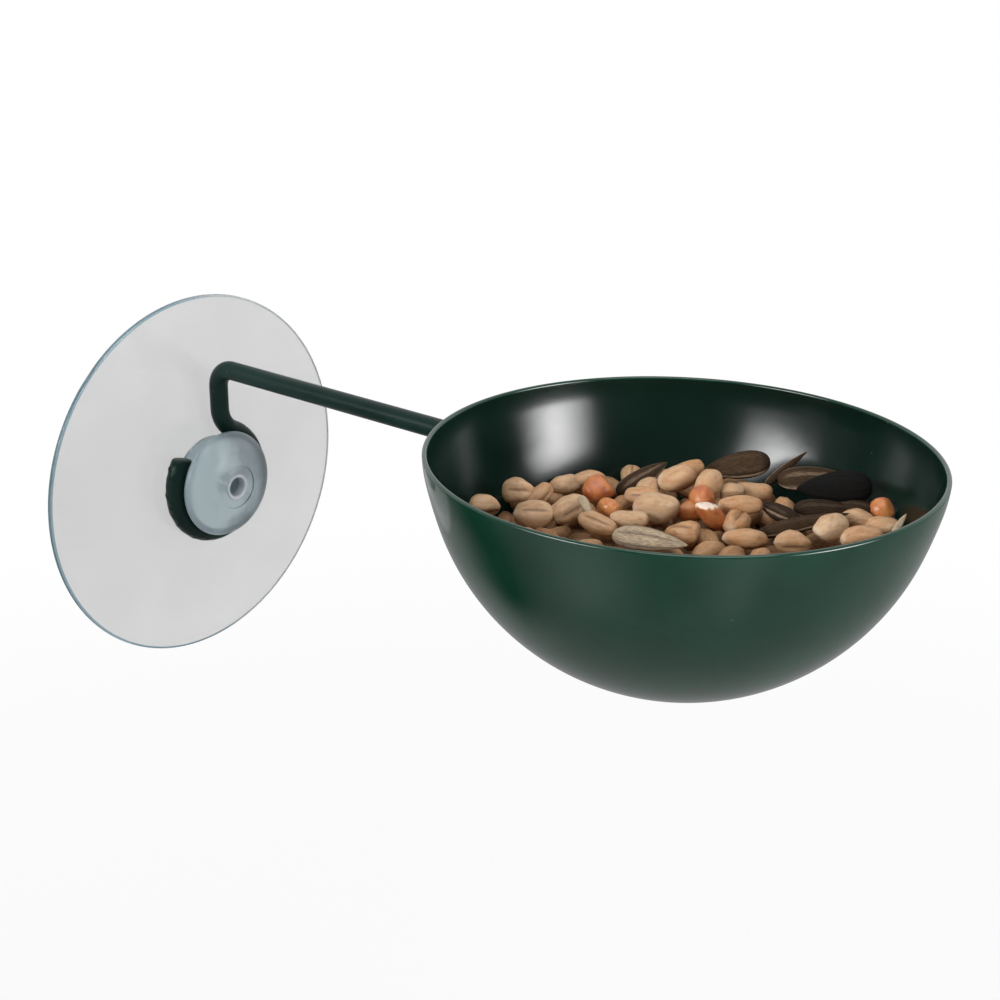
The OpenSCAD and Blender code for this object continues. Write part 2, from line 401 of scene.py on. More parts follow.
def new_group(name: str, inputs: dict[str, str]) -> tuple[Graph, Any, Node]:
    """Starts a shader node group that puts out a skin's colour, roughness and height.

    Args:
        name: the group's name.
        inputs: socket type of each input, by name.

    Returns:
        The graph, the outputs of its input node, and its output node.
    """
    tree = bpy.data.node_groups.new(name, "ShaderNodeTree")
    for direction, sockets in (("INPUT", inputs), ("OUTPUT", SKIN_OUTPUTS)):
        for socket, kind in sockets.items():
            tree.interface.new_socket(name=socket, in_out=direction, socket_type=kind)
    graph = Graph(tree)
    return graph, graph.add("NodeGroupInput").outputs, graph.add("NodeGroupOutput")


@functools.cache
def paint_skin() -> bpy.types.NodeTree:
    """Group for sprayed or dipped paint: drifting colour, a slight orange peel and a few specks of dust.

    Returns:
        The group, built on the first call.
    """
    inputs = {"Place": VECTOR, "Paint": COLOUR, "Deep Paint": COLOUR, "Dust": COLOUR}
    inputs |= {"Drift Scale": NUMBER, "Peel Scale": NUMBER, "Speck Scale": NUMBER}
    inputs |= {"Gloss Low": NUMBER, "Gloss High": NUMBER}
    graph, given, result = new_group("paint_skin", inputs)
    drift = graph.noise(given["Place"], given["Drift Scale"], 3.0)
    painted = graph.blend(graph.ease(drift, 0.35, 0.65), given["Paint"], given["Deep Paint"])
    cell_inputs = {"Vector": given["Place"], "Scale": given["Speck Scale"]}
    cell = graph.add("ShaderNodeTexVoronoi", cell_inputs).outputs
    chance = graph.add("ShaderNodeSeparateColor", {"Color": cell["Color"]}).outputs[0]
    near = graph.ease(cell["Distance"], 0.03, 0.08, 1.0, 0.0)
    speck = graph.product(near, graph.ease(chance, 0.8, 0.95))
    gloss = {"Value": drift, "From Min": 0.3, "From Max": 0.7}
    gloss |= {"To Min": given["Gloss High"], "To Max": given["Gloss Low"]}
    rough = graph.add("ShaderNodeMapRange", gloss).outputs[0]
    colour = graph.blend(speck, painted, given["Dust"])
    height = graph.total(graph.noise(given["Place"], given["Peel Scale"], 1.0), speck)
    graph.fill(result, {"Color": colour, "Roughness": rough, "Height": height})
    return graph.tree


@functools.cache
def dry_skin() -> bpy.types.NodeTree:
    """Group for the skin of dry seed: a tint for each seed, cloudy patches and fine wrinkles along the seed,
    with painted shade in the wrinkles' hollows.

    Returns:
        The group, built on the first call.
    """
    tint_apart = 53.0
    tint_share = 0.55
    inputs = {"Place": VECTOR, "Tint": NUMBER, "Light": COLOUR, "Dark": COLOUR}
    graph, given, result = new_group("dry_skin", inputs)
    own = graph.vectors("ADD", given["Place"], graph.product(given["Tint"], tint_apart))[0]
    patches = graph.noise(own, 2.2, 3.0)
    wrinkles = graph.noise(graph.vectors("MULTIPLY", own, (2.4, 1.0, 1.0))[0], 3.2, 4.0)
    cloudy = graph.ease(patches, 0.3, 0.75, 0.0, 1.0 - tint_share)
    share = graph.total(graph.product(given["Tint"], tint_share), cloudy)
    skin = graph.blend(share, given["Light"], given["Dark"])
    # painted shade: the skin is darkened towards the dark colour in the wrinkles' low parts
    hollow = graph.ease(wrinkles, 0.3, 0.5, 0.3, 0.0)
    colour = graph.blend(hollow, skin, given["Dark"], "MULTIPLY")
    rough = graph.ease(patches, 0.3, 0.7, 0.5, 0.72)
    graph.fill(result, {"Color": colour, "Roughness": rough, "Height": wrinkles})
    return graph.tree


def seed_skin(graph: Graph, light: Colour, dark: Colour) -> Any:
    """Places the seed group in a material, at each seed's own place and tint.

    Args:
        graph: the material's graph.
        light: colour of the lightest seed.
        dark: colour of the darkest seed.

    Returns:
        The group's outputs.
    """
    inputs = {"Place": graph.mark(SEED_PLACE, "Vector"), "Tint": graph.mark(SEED_TINT)}
    inputs |= {"Light": light, "Dark": dark}
    return graph.add("ShaderNodeGroup", inputs, node_tree=dry_skin()).outputs


def new_material(name: str) -> tuple[bpy.types.Material, Graph, Node]:
    """Starts a material.

    Args:
        name: the material's name.

    Returns:
        The material, its graph and its shader node.
    """
    material = bpy.data.materials.new(name)
    material.use_nodes = True
    material.node_tree.nodes.clear()
    graph = Graph(material.node_tree)
    shader = graph.add("ShaderNodeBsdfPrincipled")
    graph.add("ShaderNodeOutputMaterial", {"Surface": shader.outputs[0]})
    return material, graph, shader


# Finishes


@dataclass(frozen=True)
class GreenPaint:
    """Dark green paint. Pattern sizes are in millimetres."""

    name: str
    paint: Colour
    deep_paint: Colour
    dust: Colour = (0.05, 0.075, 0.065)
    drift_mm: float = 22.0
    peel_mm: float = 2.2
    peel_depth_mm: float = 0.05
    peel_strength: float = 0.03
    speck_mm: float = 3.0
    gloss_low: float = 0.15
    gloss_high: float = 0.22
    specular: float = 0.5

    def material(self) -> bpy.types.Material:
        """Builds the paint's material on the shared paint group.

        Returns:
            The material.
        """
        material, graph, shader = new_material(self.name)
        inputs = {"Place": graph.place(), "Dust": self.dust}
        inputs |= {"Paint": self.paint, "Deep Paint": self.deep_paint}
        sizes = {"Drift Scale": self.drift_mm, "Peel Scale": self.peel_mm, "Speck Scale": self.speck_mm}
        inputs |= {scale: 1 / (size * MM) for scale, size in sizes.items()}
        inputs |= {"Gloss Low": self.gloss_low, "Gloss High": self.gloss_high}
        skin = graph.add("ShaderNodeGroup", inputs, node_tree=paint_skin()).outputs
        normal = graph.bump(skin["Height"], self.peel_strength, self.peel_depth_mm)
        graph.fill(shader, {"Base Color": skin["Color"], "Roughness": skin["Roughness"]})
        graph.fill(shader, {"Normal": normal, "Specular IOR Level": self.specular})
        return material


@dataclass(frozen=True)
class ClearVinyl:
    """Soft clear vinyl with a faint cloud in it, whose cloudy tone can gather on its +X side as painted side
    shading.
    Pattern sizes are in millimetres.
    """

    name: str
    clear: Colour
    cloudy: Colour
    clarity: float
    roughness: float
    # painted side shading: per millimetre of X, how far the tone leans to the cloudy colour, for light and
    # shade on the +X side
    painted_side_shading: float = 0.0
    gloss: float = 0.0
    gloss_roughness: float = 0.15
    cloud_mm: float = 14.0
    wave_mm: float = 5.0
    wave_depth_mm: float = 0.04
    wave_strength: float = 0.1
    refraction: float = 1.46

    def material(self) -> bpy.types.Material:
        """Builds the vinyl's material: clear, wavy, and cloudy in patches, which the painted side shading
        gathers on its +X side.

        Returns:
            The material.
        """
        material, graph, shader = new_material(self.name)
        place = graph.place()
        cloud = graph.noise(place, 1 / (self.cloud_mm * MM), 3.0)
        # painted side shading: the X place pushes the tone towards the cloudy colour on the +X side
        cloud_and_side_shading = graph.total(cloud, graph.product(graph.parts(place)[0], self.painted_side_shading / MM))
        tone = graph.blend(graph.ease(cloud_and_side_shading, 0.35, 0.7), self.clear, self.cloudy)
        rough = graph.ease(cloud, 0.3, 0.7, 0.8 * self.roughness, 1.2 * self.roughness)
        wave = graph.noise(place, 1 / (self.wave_mm * MM), 1.0)
        normal = graph.bump(wave, self.wave_strength, self.wave_depth_mm)
        graph.fill(shader, {"Base Color": tone, "Roughness": rough, "Normal": normal})
        graph.fill(shader, {"Transmission Weight": self.clarity, "IOR": self.refraction})
        graph.fill(shader, {"Coat Weight": self.gloss, "Coat Roughness": self.gloss_roughness})
        return material


@dataclass(frozen=True)
class WheatSkin:
    """Dry tan grain with painted shade along its crease, a brown germ end and a pale brush end."""

    name: str = "wheat_skin"
    light: Colour = (0.545, 0.38, 0.235)
    dark: Colour = (0.42, 0.195, 0.07)
    # dark brown of the germ end, also laid along the crease as painted shade
    crease: Colour = (0.19, 0.095, 0.045)
    brush: Colour = (0.64, 0.50, 0.36)
    crease_shade_share: float = 0.8
    germ_share: float = 0.7
    brush_share: float = 0.6
    wrinkle_depth_mm: float = 0.25
    wrinkle_strength: float = 0.5
    glow: float = 0.08
    glow_mm: float = 0.4

    def material(self) -> bpy.types.Material:
        """Builds the grain's material on the shared seed group.

        Returns:
            The material.
        """
        material, graph, shader = new_material(self.name)
        skin = seed_skin(graph, self.light, self.dark)
        along, _, side = graph.parts(graph.mark(SEED_PLACE, "Vector"))
        middle = graph.product(graph.ease(along, 0.1, 0.3), graph.ease(along, 0.7, 0.92, 1.0, 0.0))
        # painted shade: a thin dark line along the crease, fading towards both ends
        painted_crease_shade = graph.product(graph.ease(side, 0.965, 0.998), middle, self.crease_shade_share)
        creased = graph.blend(painted_crease_shade, skin["Color"], self.crease)
        germ = graph.blend(graph.ease(along, 0.9, 0.99, 0.0, self.germ_share), creased, self.crease)
        brushed = graph.blend(graph.ease(along, 0.08, 0.0, 0.0, self.brush_share), germ, self.brush)
        normal = graph.bump(skin["Height"], self.wrinkle_strength, self.wrinkle_depth_mm)
        graph.fill(shader, {"Base Color": brushed, "Roughness": skin["Roughness"], "Normal": normal})
        graph.fill(shader, {"Subsurface Weight": self.glow, "Subsurface Scale": self.glow_mm * MM})
        return material


@dataclass(frozen=True)
class StripedHusk:
    """Sunflower husk: black to pale by the seed's own tone, with pale stripes along it and pale edges."""

    name: str = "striped_husk"
    black: Colour = (0.004, 0.0036, 0.0033)
    brown: Colour = (0.056, 0.032, 0.017)
    pale: Colour = (0.50, 0.39, 0.27)
    stripe: Colour = (0.34, 0.24, 0.165)
    dark_stripe: Colour = (0.13, 0.10, 0.08)
    stripes_round: float = 6.0
    stripe_shake: float = 4.0
    rib_depth_mm: float = 0.2
    rib_strength: float = 0.6
    specular: float = 0.1

    def material(self) -> bpy.types.Material:
        """Builds the husk's material: stripes are the cosine of the turn round the seed, shaken by noise.

        Returns:
            The material.
        """
        material, graph, shader = new_material(self.name)
        place = graph.mark(SEED_PLACE, "Vector")
        along, across, side = graph.parts(place)
        tone = graph.mark(HUSK_TONE)
        strength = graph.mark(HUSK_STRIPE)
        dark = graph.blend(graph.ease(tone, 0.0, 0.45), self.black, self.brown)
        ground = graph.blend(graph.ease(tone, 0.45, 0.9), dark, self.pale)
        fibres = graph.noise(graph.vectors("MULTIPLY", place, (1.2, 9.0, 9.0))[0], 2.5, 5.0)
        turns = graph.product(graph.maths("ARCTAN2", side, across), self.stripes_round)
        shaken = graph.total(turns, graph.product(fibres, self.stripe_shake))
        band = graph.ease(graph.maths("COSINE", shaken), 0.3, 0.95, 0.0, 0.75)
        from_ends = graph.product(graph.ease(along, 0.03, 0.2), graph.ease(along, 0.8, 0.98, 1.0, 0.2))
        lines = graph.product(band, strength, from_ends)
        line_tone = graph.blend(graph.ease(tone, 0.6, 0.85), self.stripe, self.dark_stripe)
        banded = graph.blend(lines, ground, line_tone)
        at_edge = graph.ease(graph.maths("ABSOLUTE", across), 0.955, 0.99)
        edge = graph.product(at_edge, graph.ease(tone, 0.1, 0.3, 0.0, 0.9))
        edged = graph.blend(edge, banded, self.stripe)
        at_end = graph.ease(along, 0.07, 0.13, 0.9, 0.0)
        cap = graph.product(at_end, graph.ease(strength, 0.02, 0.1, 1.0, 0.0))
        striped = graph.blend(cap, edged, self.black)
        worn = graph.ease(graph.noise(place, 14.0, 3.0), 0.35, 0.65, 0.6, 1.1)
        shade = graph.add("ShaderNodeCombineColor", {0: worn, 1: worn, 2: worn}).outputs[0]
        colour = graph.blend(1.0, striped, shade, "MULTIPLY")
        rough = graph.ease(fibres, 0.3, 0.7, 0.6, 0.8)
        normal = graph.bump(fibres, self.rib_strength, self.rib_depth_mm)
        graph.fill(shader, {"Base Color": colour, "Roughness": rough, "Normal": normal})
        graph.fill(shader, {"Specular IOR Level": self.specular})
        return material


@dataclass(frozen=True)
class MaizeFlint:
    """Broken maize: waxy orange skin and pale floury breaks."""

    name: str = "maize_flint"
    light: Colour = (0.68, 0.325, 0.105)
    dark: Colour = (0.38, 0.09, 0.028)
    flour: Colour = (0.80, 0.70, 0.58)
    raggedness: float = 1.4
    grain_depth_mm: float = 0.15
    grain_strength: float = 0.35
    glow: float = 0.15
    glow_mm: float = 0.6

    def material(self) -> bpy.types.Material:
        """Builds the maize's material on the shared seed group.

        Returns:
            The material.
        """
        material, graph, shader = new_material(self.name)
        skin = seed_skin(graph, self.light, self.dark)
        ragged = graph.product(graph.maths("SUBTRACT", skin["Height"], 0.5), self.raggedness)
        floury = graph.ease(graph.total(graph.mark(FLOURY), ragged), 0.62, 1.0, 0.0, 0.9)
        colour = graph.blend(floury, skin["Color"], self.flour)
        rough = graph.ease(floury, 0.0, 1.0, 0.32, 0.8)
        normal = graph.bump(skin["Height"], self.grain_strength, self.grain_depth_mm)
        graph.fill(shader, {"Base Color": colour, "Roughness": rough, "Normal": normal})
        graph.fill(shader, {"Subsurface Weight": self.glow, "Subsurface Scale": self.glow_mm * MM})
        return material


SeedFinish = WheatSkin | StripedHusk | MaizeFlint


# Pieces


def new_object(name: str, data: Any) -> bpy.types.Object:
    """Puts a mesh, lamp or camera into the scene.

    Args:
        name: the object's name.
        data: what the object holds.

    Returns:
        The object.
    """
    made = bpy.data.objects.new(name, data)
    bpy.context.scene.collection.objects.link(made)
    return made


def add_piece(
    name: str,
    surface: Surface,
    materials: list[bpy.types.Material],
    body: Body,
    replaces: str,
    crease_deg: float | None = None,
) -> bpy.types.Object:
    """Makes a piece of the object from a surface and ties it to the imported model.

    Args:
        name: the piece's name.
        surface: its shape.
        materials: its materials, the first for all faces.
        body: the body that it moves with.
        replaces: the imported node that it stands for.
        crease_deg: angle above which an edge stays sharp, or None for a wholly smooth piece.

    Returns:
        The piece.
    """
    piece = new_object(name, surface.to_mesh(name))
    for material in materials:
        piece.data.materials.append(material)
    if crease_deg is not None:
        piece.data.set_sharp_from_angle(angle=math.radians(crease_deg))
    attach(piece, body.value)
    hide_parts(replaces)
    LOG.info("%s: %d points, %d faces", name, len(piece.data.vertices), len(piece.data.polygons))
    return piece


def set_materials(piece: bpy.types.Object, numbers: npt.NDArray[Any]) -> None:
    """Gives each face of a piece one of the piece's materials, by number."""
    piece.data.polygons.foreach_set("material_index", numbers.astype(np.int32))


@dataclass
class SuctionCup:
    """Clear moulding: a disc, a neck and a mushroom head. Heights are in millimetres from the window."""

    disc_d: float = 80.2
    edge: float = 1.0
    edge_r: float = 0.3
    middle: float = 3.6
    land_d: float = 32.0
    hollow: float = 1.5
    lip: float = 3.5
    gate_depth: float = 0.2
    gate_angle: float = 134.0
    neck_d: float = 19.0
    neck_fillet_r: float = 0.5
    head_back: float = 8.04
    head_d: float = 23.3
    head_edge_r: float = 1.0
    head_dome: float = 3.93
    dish_d: float = 9.6
    dish_depth: float = 0.3
    dish_edge_r: float = 0.1
    hole_d: float = 4.2
    hole_depth: float = 6.0
    # depth down the pin hole of the pale mouth that is painted light
    mouth_depth: float = 1.6
    ring: float = 0.8
    spacing: float = 0.3
    fine_spacing: float = 0.1
    neck_from: float = 0.6
    columns: int = 192
    crease_deg: float = 40.0
    disc_finish: ClearVinyl = ClearVinyl(
        "clear_vinyl_disc", (0.69, 0.69, 0.69), (0.67, 0.67, 0.67), clarity=0.92, roughness=0.06
    )
    # painted shade: the darker cloudy tone gathers on the +X side of the head and neck
    head_finish: ClearVinyl = ClearVinyl(
        "clear_vinyl_head", (0.38, 0.49, 0.53), (0.19, 0.245, 0.275), clarity=0.45, roughness=0.37,
        painted_side_shading=0.03, gloss=0.4, cloud_mm=8.0,
    )
    # edge: a darker, bluer copy of the vinyl, partly its tint seen edge-on and partly painted shade, and
    # paler grey towards +X as painted light
    edge_finish: ClearVinyl = ClearVinyl(
        "clear_vinyl_edge", (0.17, 0.27, 0.32), (0.36, 0.38, 0.39), clarity=0.5, roughness=0.15,
        painted_side_shading=0.01,
    )
    # painted light: a paler, glossier copy of the vinyl for the ring round the pin hole and the top of its
    # wall
    painted_light_mouth_finish: ClearVinyl = ClearVinyl(
        "clear_vinyl_painted_light_mouth", (0.66, 0.70, 0.74), (0.54, 0.59, 0.63), clarity=0.2, roughness=0.33, gloss=0.8
    )

    @property
    def dish_lean(self) -> float:
        """Angle on the dome's ellipse at which the dish starts, in degrees."""
        return math.degrees(math.acos(self.dish_d / self.head_d))

    @property
    def dish_floor(self) -> float:
        """Height of the dish's floor round the pin hole."""
        rise = self.head_dome * math.sin(math.radians(self.dish_lean))
        return self.head_back + self.head_edge_r + rise - self.dish_depth

    def profile(self) -> Array:
        """Half outline from the hollow back's middle, round the lip, over the head and into the pin hole.

        A stretch starts a small spacing past the end of the one before it.

        Returns:
            Radius and height of each point.
        """
        gap, fine = self.spacing, self.fine_spacing
        disc_r, land_r, neck_r, hole_r = (d / 2 for d in (self.disc_d, self.land_d, self.neck_d, self.hole_d))
        head_r, dish_r, ring_r = self.head_d / 2, self.dish_d / 2, self.ring / 2
        seal_r, front_r = disc_r - self.lip, disc_r - self.edge_r
        fillet_r, bevel_r = self.neck_fillet_r, self.dish_edge_r
        back, flank_r = self.head_back, head_r - self.head_edge_r
        head_mid = back + self.head_edge_r
        floor = self.dish_floor
        mouth, bottom = floor - self.mouth_depth, floor - self.hole_depth
        parts = [
            line((0, self.hollow), (seal_r, 0), 40),
            line((seal_r + gap, 0), (front_r, 0), 6),
            arc((front_r, self.edge_r), self.edge_r, -75, 0, 6),
            arc((front_r, self.edge - self.edge_r), self.edge_r, 0, 84, 6),
            line((front_r - 2 * fine, self.edge + fine / 5), (land_r, self.middle), 32),
            line((land_r - gap, self.middle), (neck_r + fillet_r, self.middle), 8),
            arc((neck_r + fillet_r, self.middle + fillet_r), fillet_r, 270, 180, 6),
            line((neck_r, self.middle + fillet_r + gap), (neck_r, back), 6),
            line((neck_r + fine, back), (flank_r, back), 4),
            arc((flank_r, head_mid), self.head_edge_r, -86, 0, 10),
            arc((0, 0), 1, 2, self.dish_lean, 44) * (head_r, self.head_dome) + (0, head_mid),
            arc((dish_r - bevel_r, floor + bevel_r), bevel_r, 0, -90, 4),
            line((dish_r - bevel_r - gap, floor), (hole_r + self.ring + fine / 2, floor), 6),
            arc((hole_r + ring_r, floor), ring_r, 10, 180, 14),
            line((hole_r, floor - gap), (hole_r, mouth), 4),
            line((hole_r, mouth - fine), (hole_r, bottom), 7),
            line((hole_r - gap, bottom), (0, bottom), 4),
        ]
        return np.concatenate(parts)

    def surface(self) -> Surface:
        """The outline carried round the cup's axis, with the gate's flat pressed into the disc's edge.

        Returns:
            The closed surface.
        """
        made = turned(self.profile(), self.columns, RIGHT, UP, -INTO_WINDOW)
        angle = math.radians(self.gate_angle)
        outwards = math.cos(angle) * RIGHT + math.sin(angle) * UP
        past = np.maximum(made.points @ outwards - (self.disc_d / 2 - self.gate_depth), 0)
        made.points -= past[:, None] * outwards
        return made

    def build(self) -> None:
        """Makes the cup: clear disc, bluer edge with partly painted shade, milky neck and head with painted
        shade on their +X side, and the pin hole's mouth, painted pale as painted light.
        """
        parts = (self.disc_finish, self.head_finish, self.edge_finish, self.painted_light_mouth_finish)
        finishes = [finish.material() for finish in parts]
        surface = self.surface()
        cup = add_piece(
            "cup_moulding", surface, finishes, Body.CUP, "suction_cup", self.crease_deg
        )
        middles = np.empty(3 * len(cup.data.polygons), dtype=np.float32)
        cup.data.polygons.foreach_get("center", middles)
        radius = np.hypot(middles[0::3], middles[2::3]) / MM
        height = -middles[1::3] / MM
        in_head = height > self.middle + self.neck_from
        on_edge = radius > self.disc_d / 2 - 1.5 * self.edge_r
        # painted light: the ring and the top of the hole's wall take the pale mouth finish, and the deeper
        # hole keeps the head's darker tone
        painted_light_mouth = (radius < self.hole_d / 2 + self.ring) & (height > self.dish_floor - self.mouth_depth)
        set_materials(cup, in_head + 2 * on_edge + 2 * painted_light_mouth)


@dataclass
class BowlForm:
    """Shape of the pressed bowl, in millimetres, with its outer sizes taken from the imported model."""

    lean_deg: float = 11.5
    leave_deg: float = 18.0
    knee_deg: float = 13.5
    rim_deg: float = 2.7
    wall: float = 0.9

    def __post_init__(self) -> None:
        """Works out the ball-shaped bottom from the mean lean of the wall that runs on from it."""
        low, high = (np.array(corner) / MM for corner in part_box("bowl"))
        self.rim_z = float(high[2])
        self.reach = -float(low[1] + high[1]) / 2
        self.edge_r = self.wall / 2
        lean = math.radians(self.lean_deg)
        depth = float(high[2] - low[2])
        self.top_r = float(high[0] - low[0]) / 2 - self.edge_r
        share = (1 - math.sin(lean)) / math.cos(lean)
        line_r = self.top_r + self.edge_r / math.cos(lean)
        flare = (depth - self.edge_r - line_r * share) / (1 - math.tan(lean) * share)
        self.ball_r = (line_r - flare * math.tan(lean)) / math.cos(lean)
        self.ball_z = self.rim_z - depth + self.ball_r
        self.axis = np.array([0.0, -self.reach, 0.0])

    def rim_end(self, inset: float) -> tuple[float, float]:
        """Place where a face runs into the round rim: outside it for no inset, else inside it.

        Args:
            inset: distance of the face inside the outer one.

        Returns:
            Radius and height.
        """
        side = 1 if inset == 0 else -1
        lean = math.radians(self.rim_deg)
        radius = self.top_r + side * self.edge_r * math.cos(lean)
        return radius, self.rim_z - self.edge_r - side * self.edge_r * math.sin(lean)

    def wall_r(self, z: Array | float, inset: float) -> Array:
        """Radius of the bowl's face at a height: on the ball, then on two parabolas that meet at a soft knee.

        The slope falls evenly from the ball's to the knee's, and then faster to the rim's. The second
        parabola ends where the round rim starts, which fixes the knee's height.

        Args:
            z: height, in millimetres.
            inset: distance of the face inside the outer one.

        Returns:
            The radius.
        """
        leave = math.radians(self.leave_deg)
        face_r = self.ball_r - inset
        join_r, join_z = face_r * math.cos(leave), self.ball_z - face_r * math.sin(leave)
        end_r, end_z = self.rim_end(inset)
        slopes = (self.leave_deg, self.knee_deg, self.rim_deg)
        first, knee, last = (math.tan(math.radians(slope)) for slope in slopes)
        knee_z = (2 * (end_r - join_r) + join_z * (first + knee) - end_z * (knee + last)) / (first - last)
        ball = np.sqrt(np.maximum(face_r**2 - (self.ball_z - z) ** 2, 0))
        below, above = np.clip(z - join_z, 0, knee_z - join_z), np.maximum(z - knee_z, 0)
        low = first * below - (first - knee) / (2 * (knee_z - join_z)) * below**2
        high = knee * above - (knee - last) / (2 * (end_z - knee_z)) * above**2
        return np.where(z < join_z, ball, join_r + low + high)


@dataclass
class Bowl:
    """Pressed steel bowl with a round bottom, a leaning upper wall and a rounded rim."""

    form: BowlForm
    columns: int = 224
    ball_rows: int = 56
    wall_rows: int = 24
    rim_rows: int = 12
    outside: GreenPaint = GreenPaint(
        "green_bowl_enamel", (0.006, 0.036, 0.0215), (0.0045, 0.0275, 0.0165), gloss_low=0.1, gloss_high=0.15
    )
    # painted shade: a darker copy of the same enamel for the bowl's inside
    inside: GreenPaint = GreenPaint(
        "green_bowl_enamel_painted_shade_inside", (0.0027, 0.0130, 0.0086), (0.0020, 0.0096, 0.0063), peel_strength=0.09
    )

    def profile(self) -> Array:
        """Half outline from the bottom's outside, up and over the rim, and down the inside.

        Returns:
            Radius and height of each point.
        """
        form = self.form
        parts = []
        for inset in (0.0, form.wall):
            bottom = arc((0, form.ball_z), form.ball_r - inset, -90, -form.leave_deg, self.ball_rows)
            wall_z = np.linspace(bottom[-1, 1], form.rim_end(inset)[1], self.wall_rows + 2)[1:-1]
            parts.append(np.concatenate([bottom, np.stack([form.wall_r(wall_z, inset), wall_z], axis=-1)]))
        rim_middle = (form.top_r, form.rim_z - form.edge_r)
        rim = arc(rim_middle, form.edge_r, -form.rim_deg, 180 - form.rim_deg, self.rim_rows)
        profile = np.concatenate([parts[0], rim, parts[1][::-1]])
        profile[[0, -1], 0] = 0
        return profile

    def build(self) -> None:
        """Makes the bowl and dresses it in enamel, with a deeper green copy inside as painted shade."""
        made = turned(self.profile(), self.columns, RIGHT, INTO_WINDOW, UP)
        made.points += self.form.axis
        finishes = [self.outside.material(), self.inside.material()]
        bowl = add_piece("steel_bowl", made, finishes, Body.FEEDER, "bowl")
        rows = np.arange(len(made.quads)) // self.columns
        # painted shade: the inside's faces take the darker copy of the enamel
        painted_shade_inside = rows >= self.ball_rows + self.wall_rows + self.rim_rows - 2
        last_fan = np.arange(len(made.triangles)) >= self.columns
        set_materials(bowl, np.concatenate([painted_shade_inside, last_fan]))


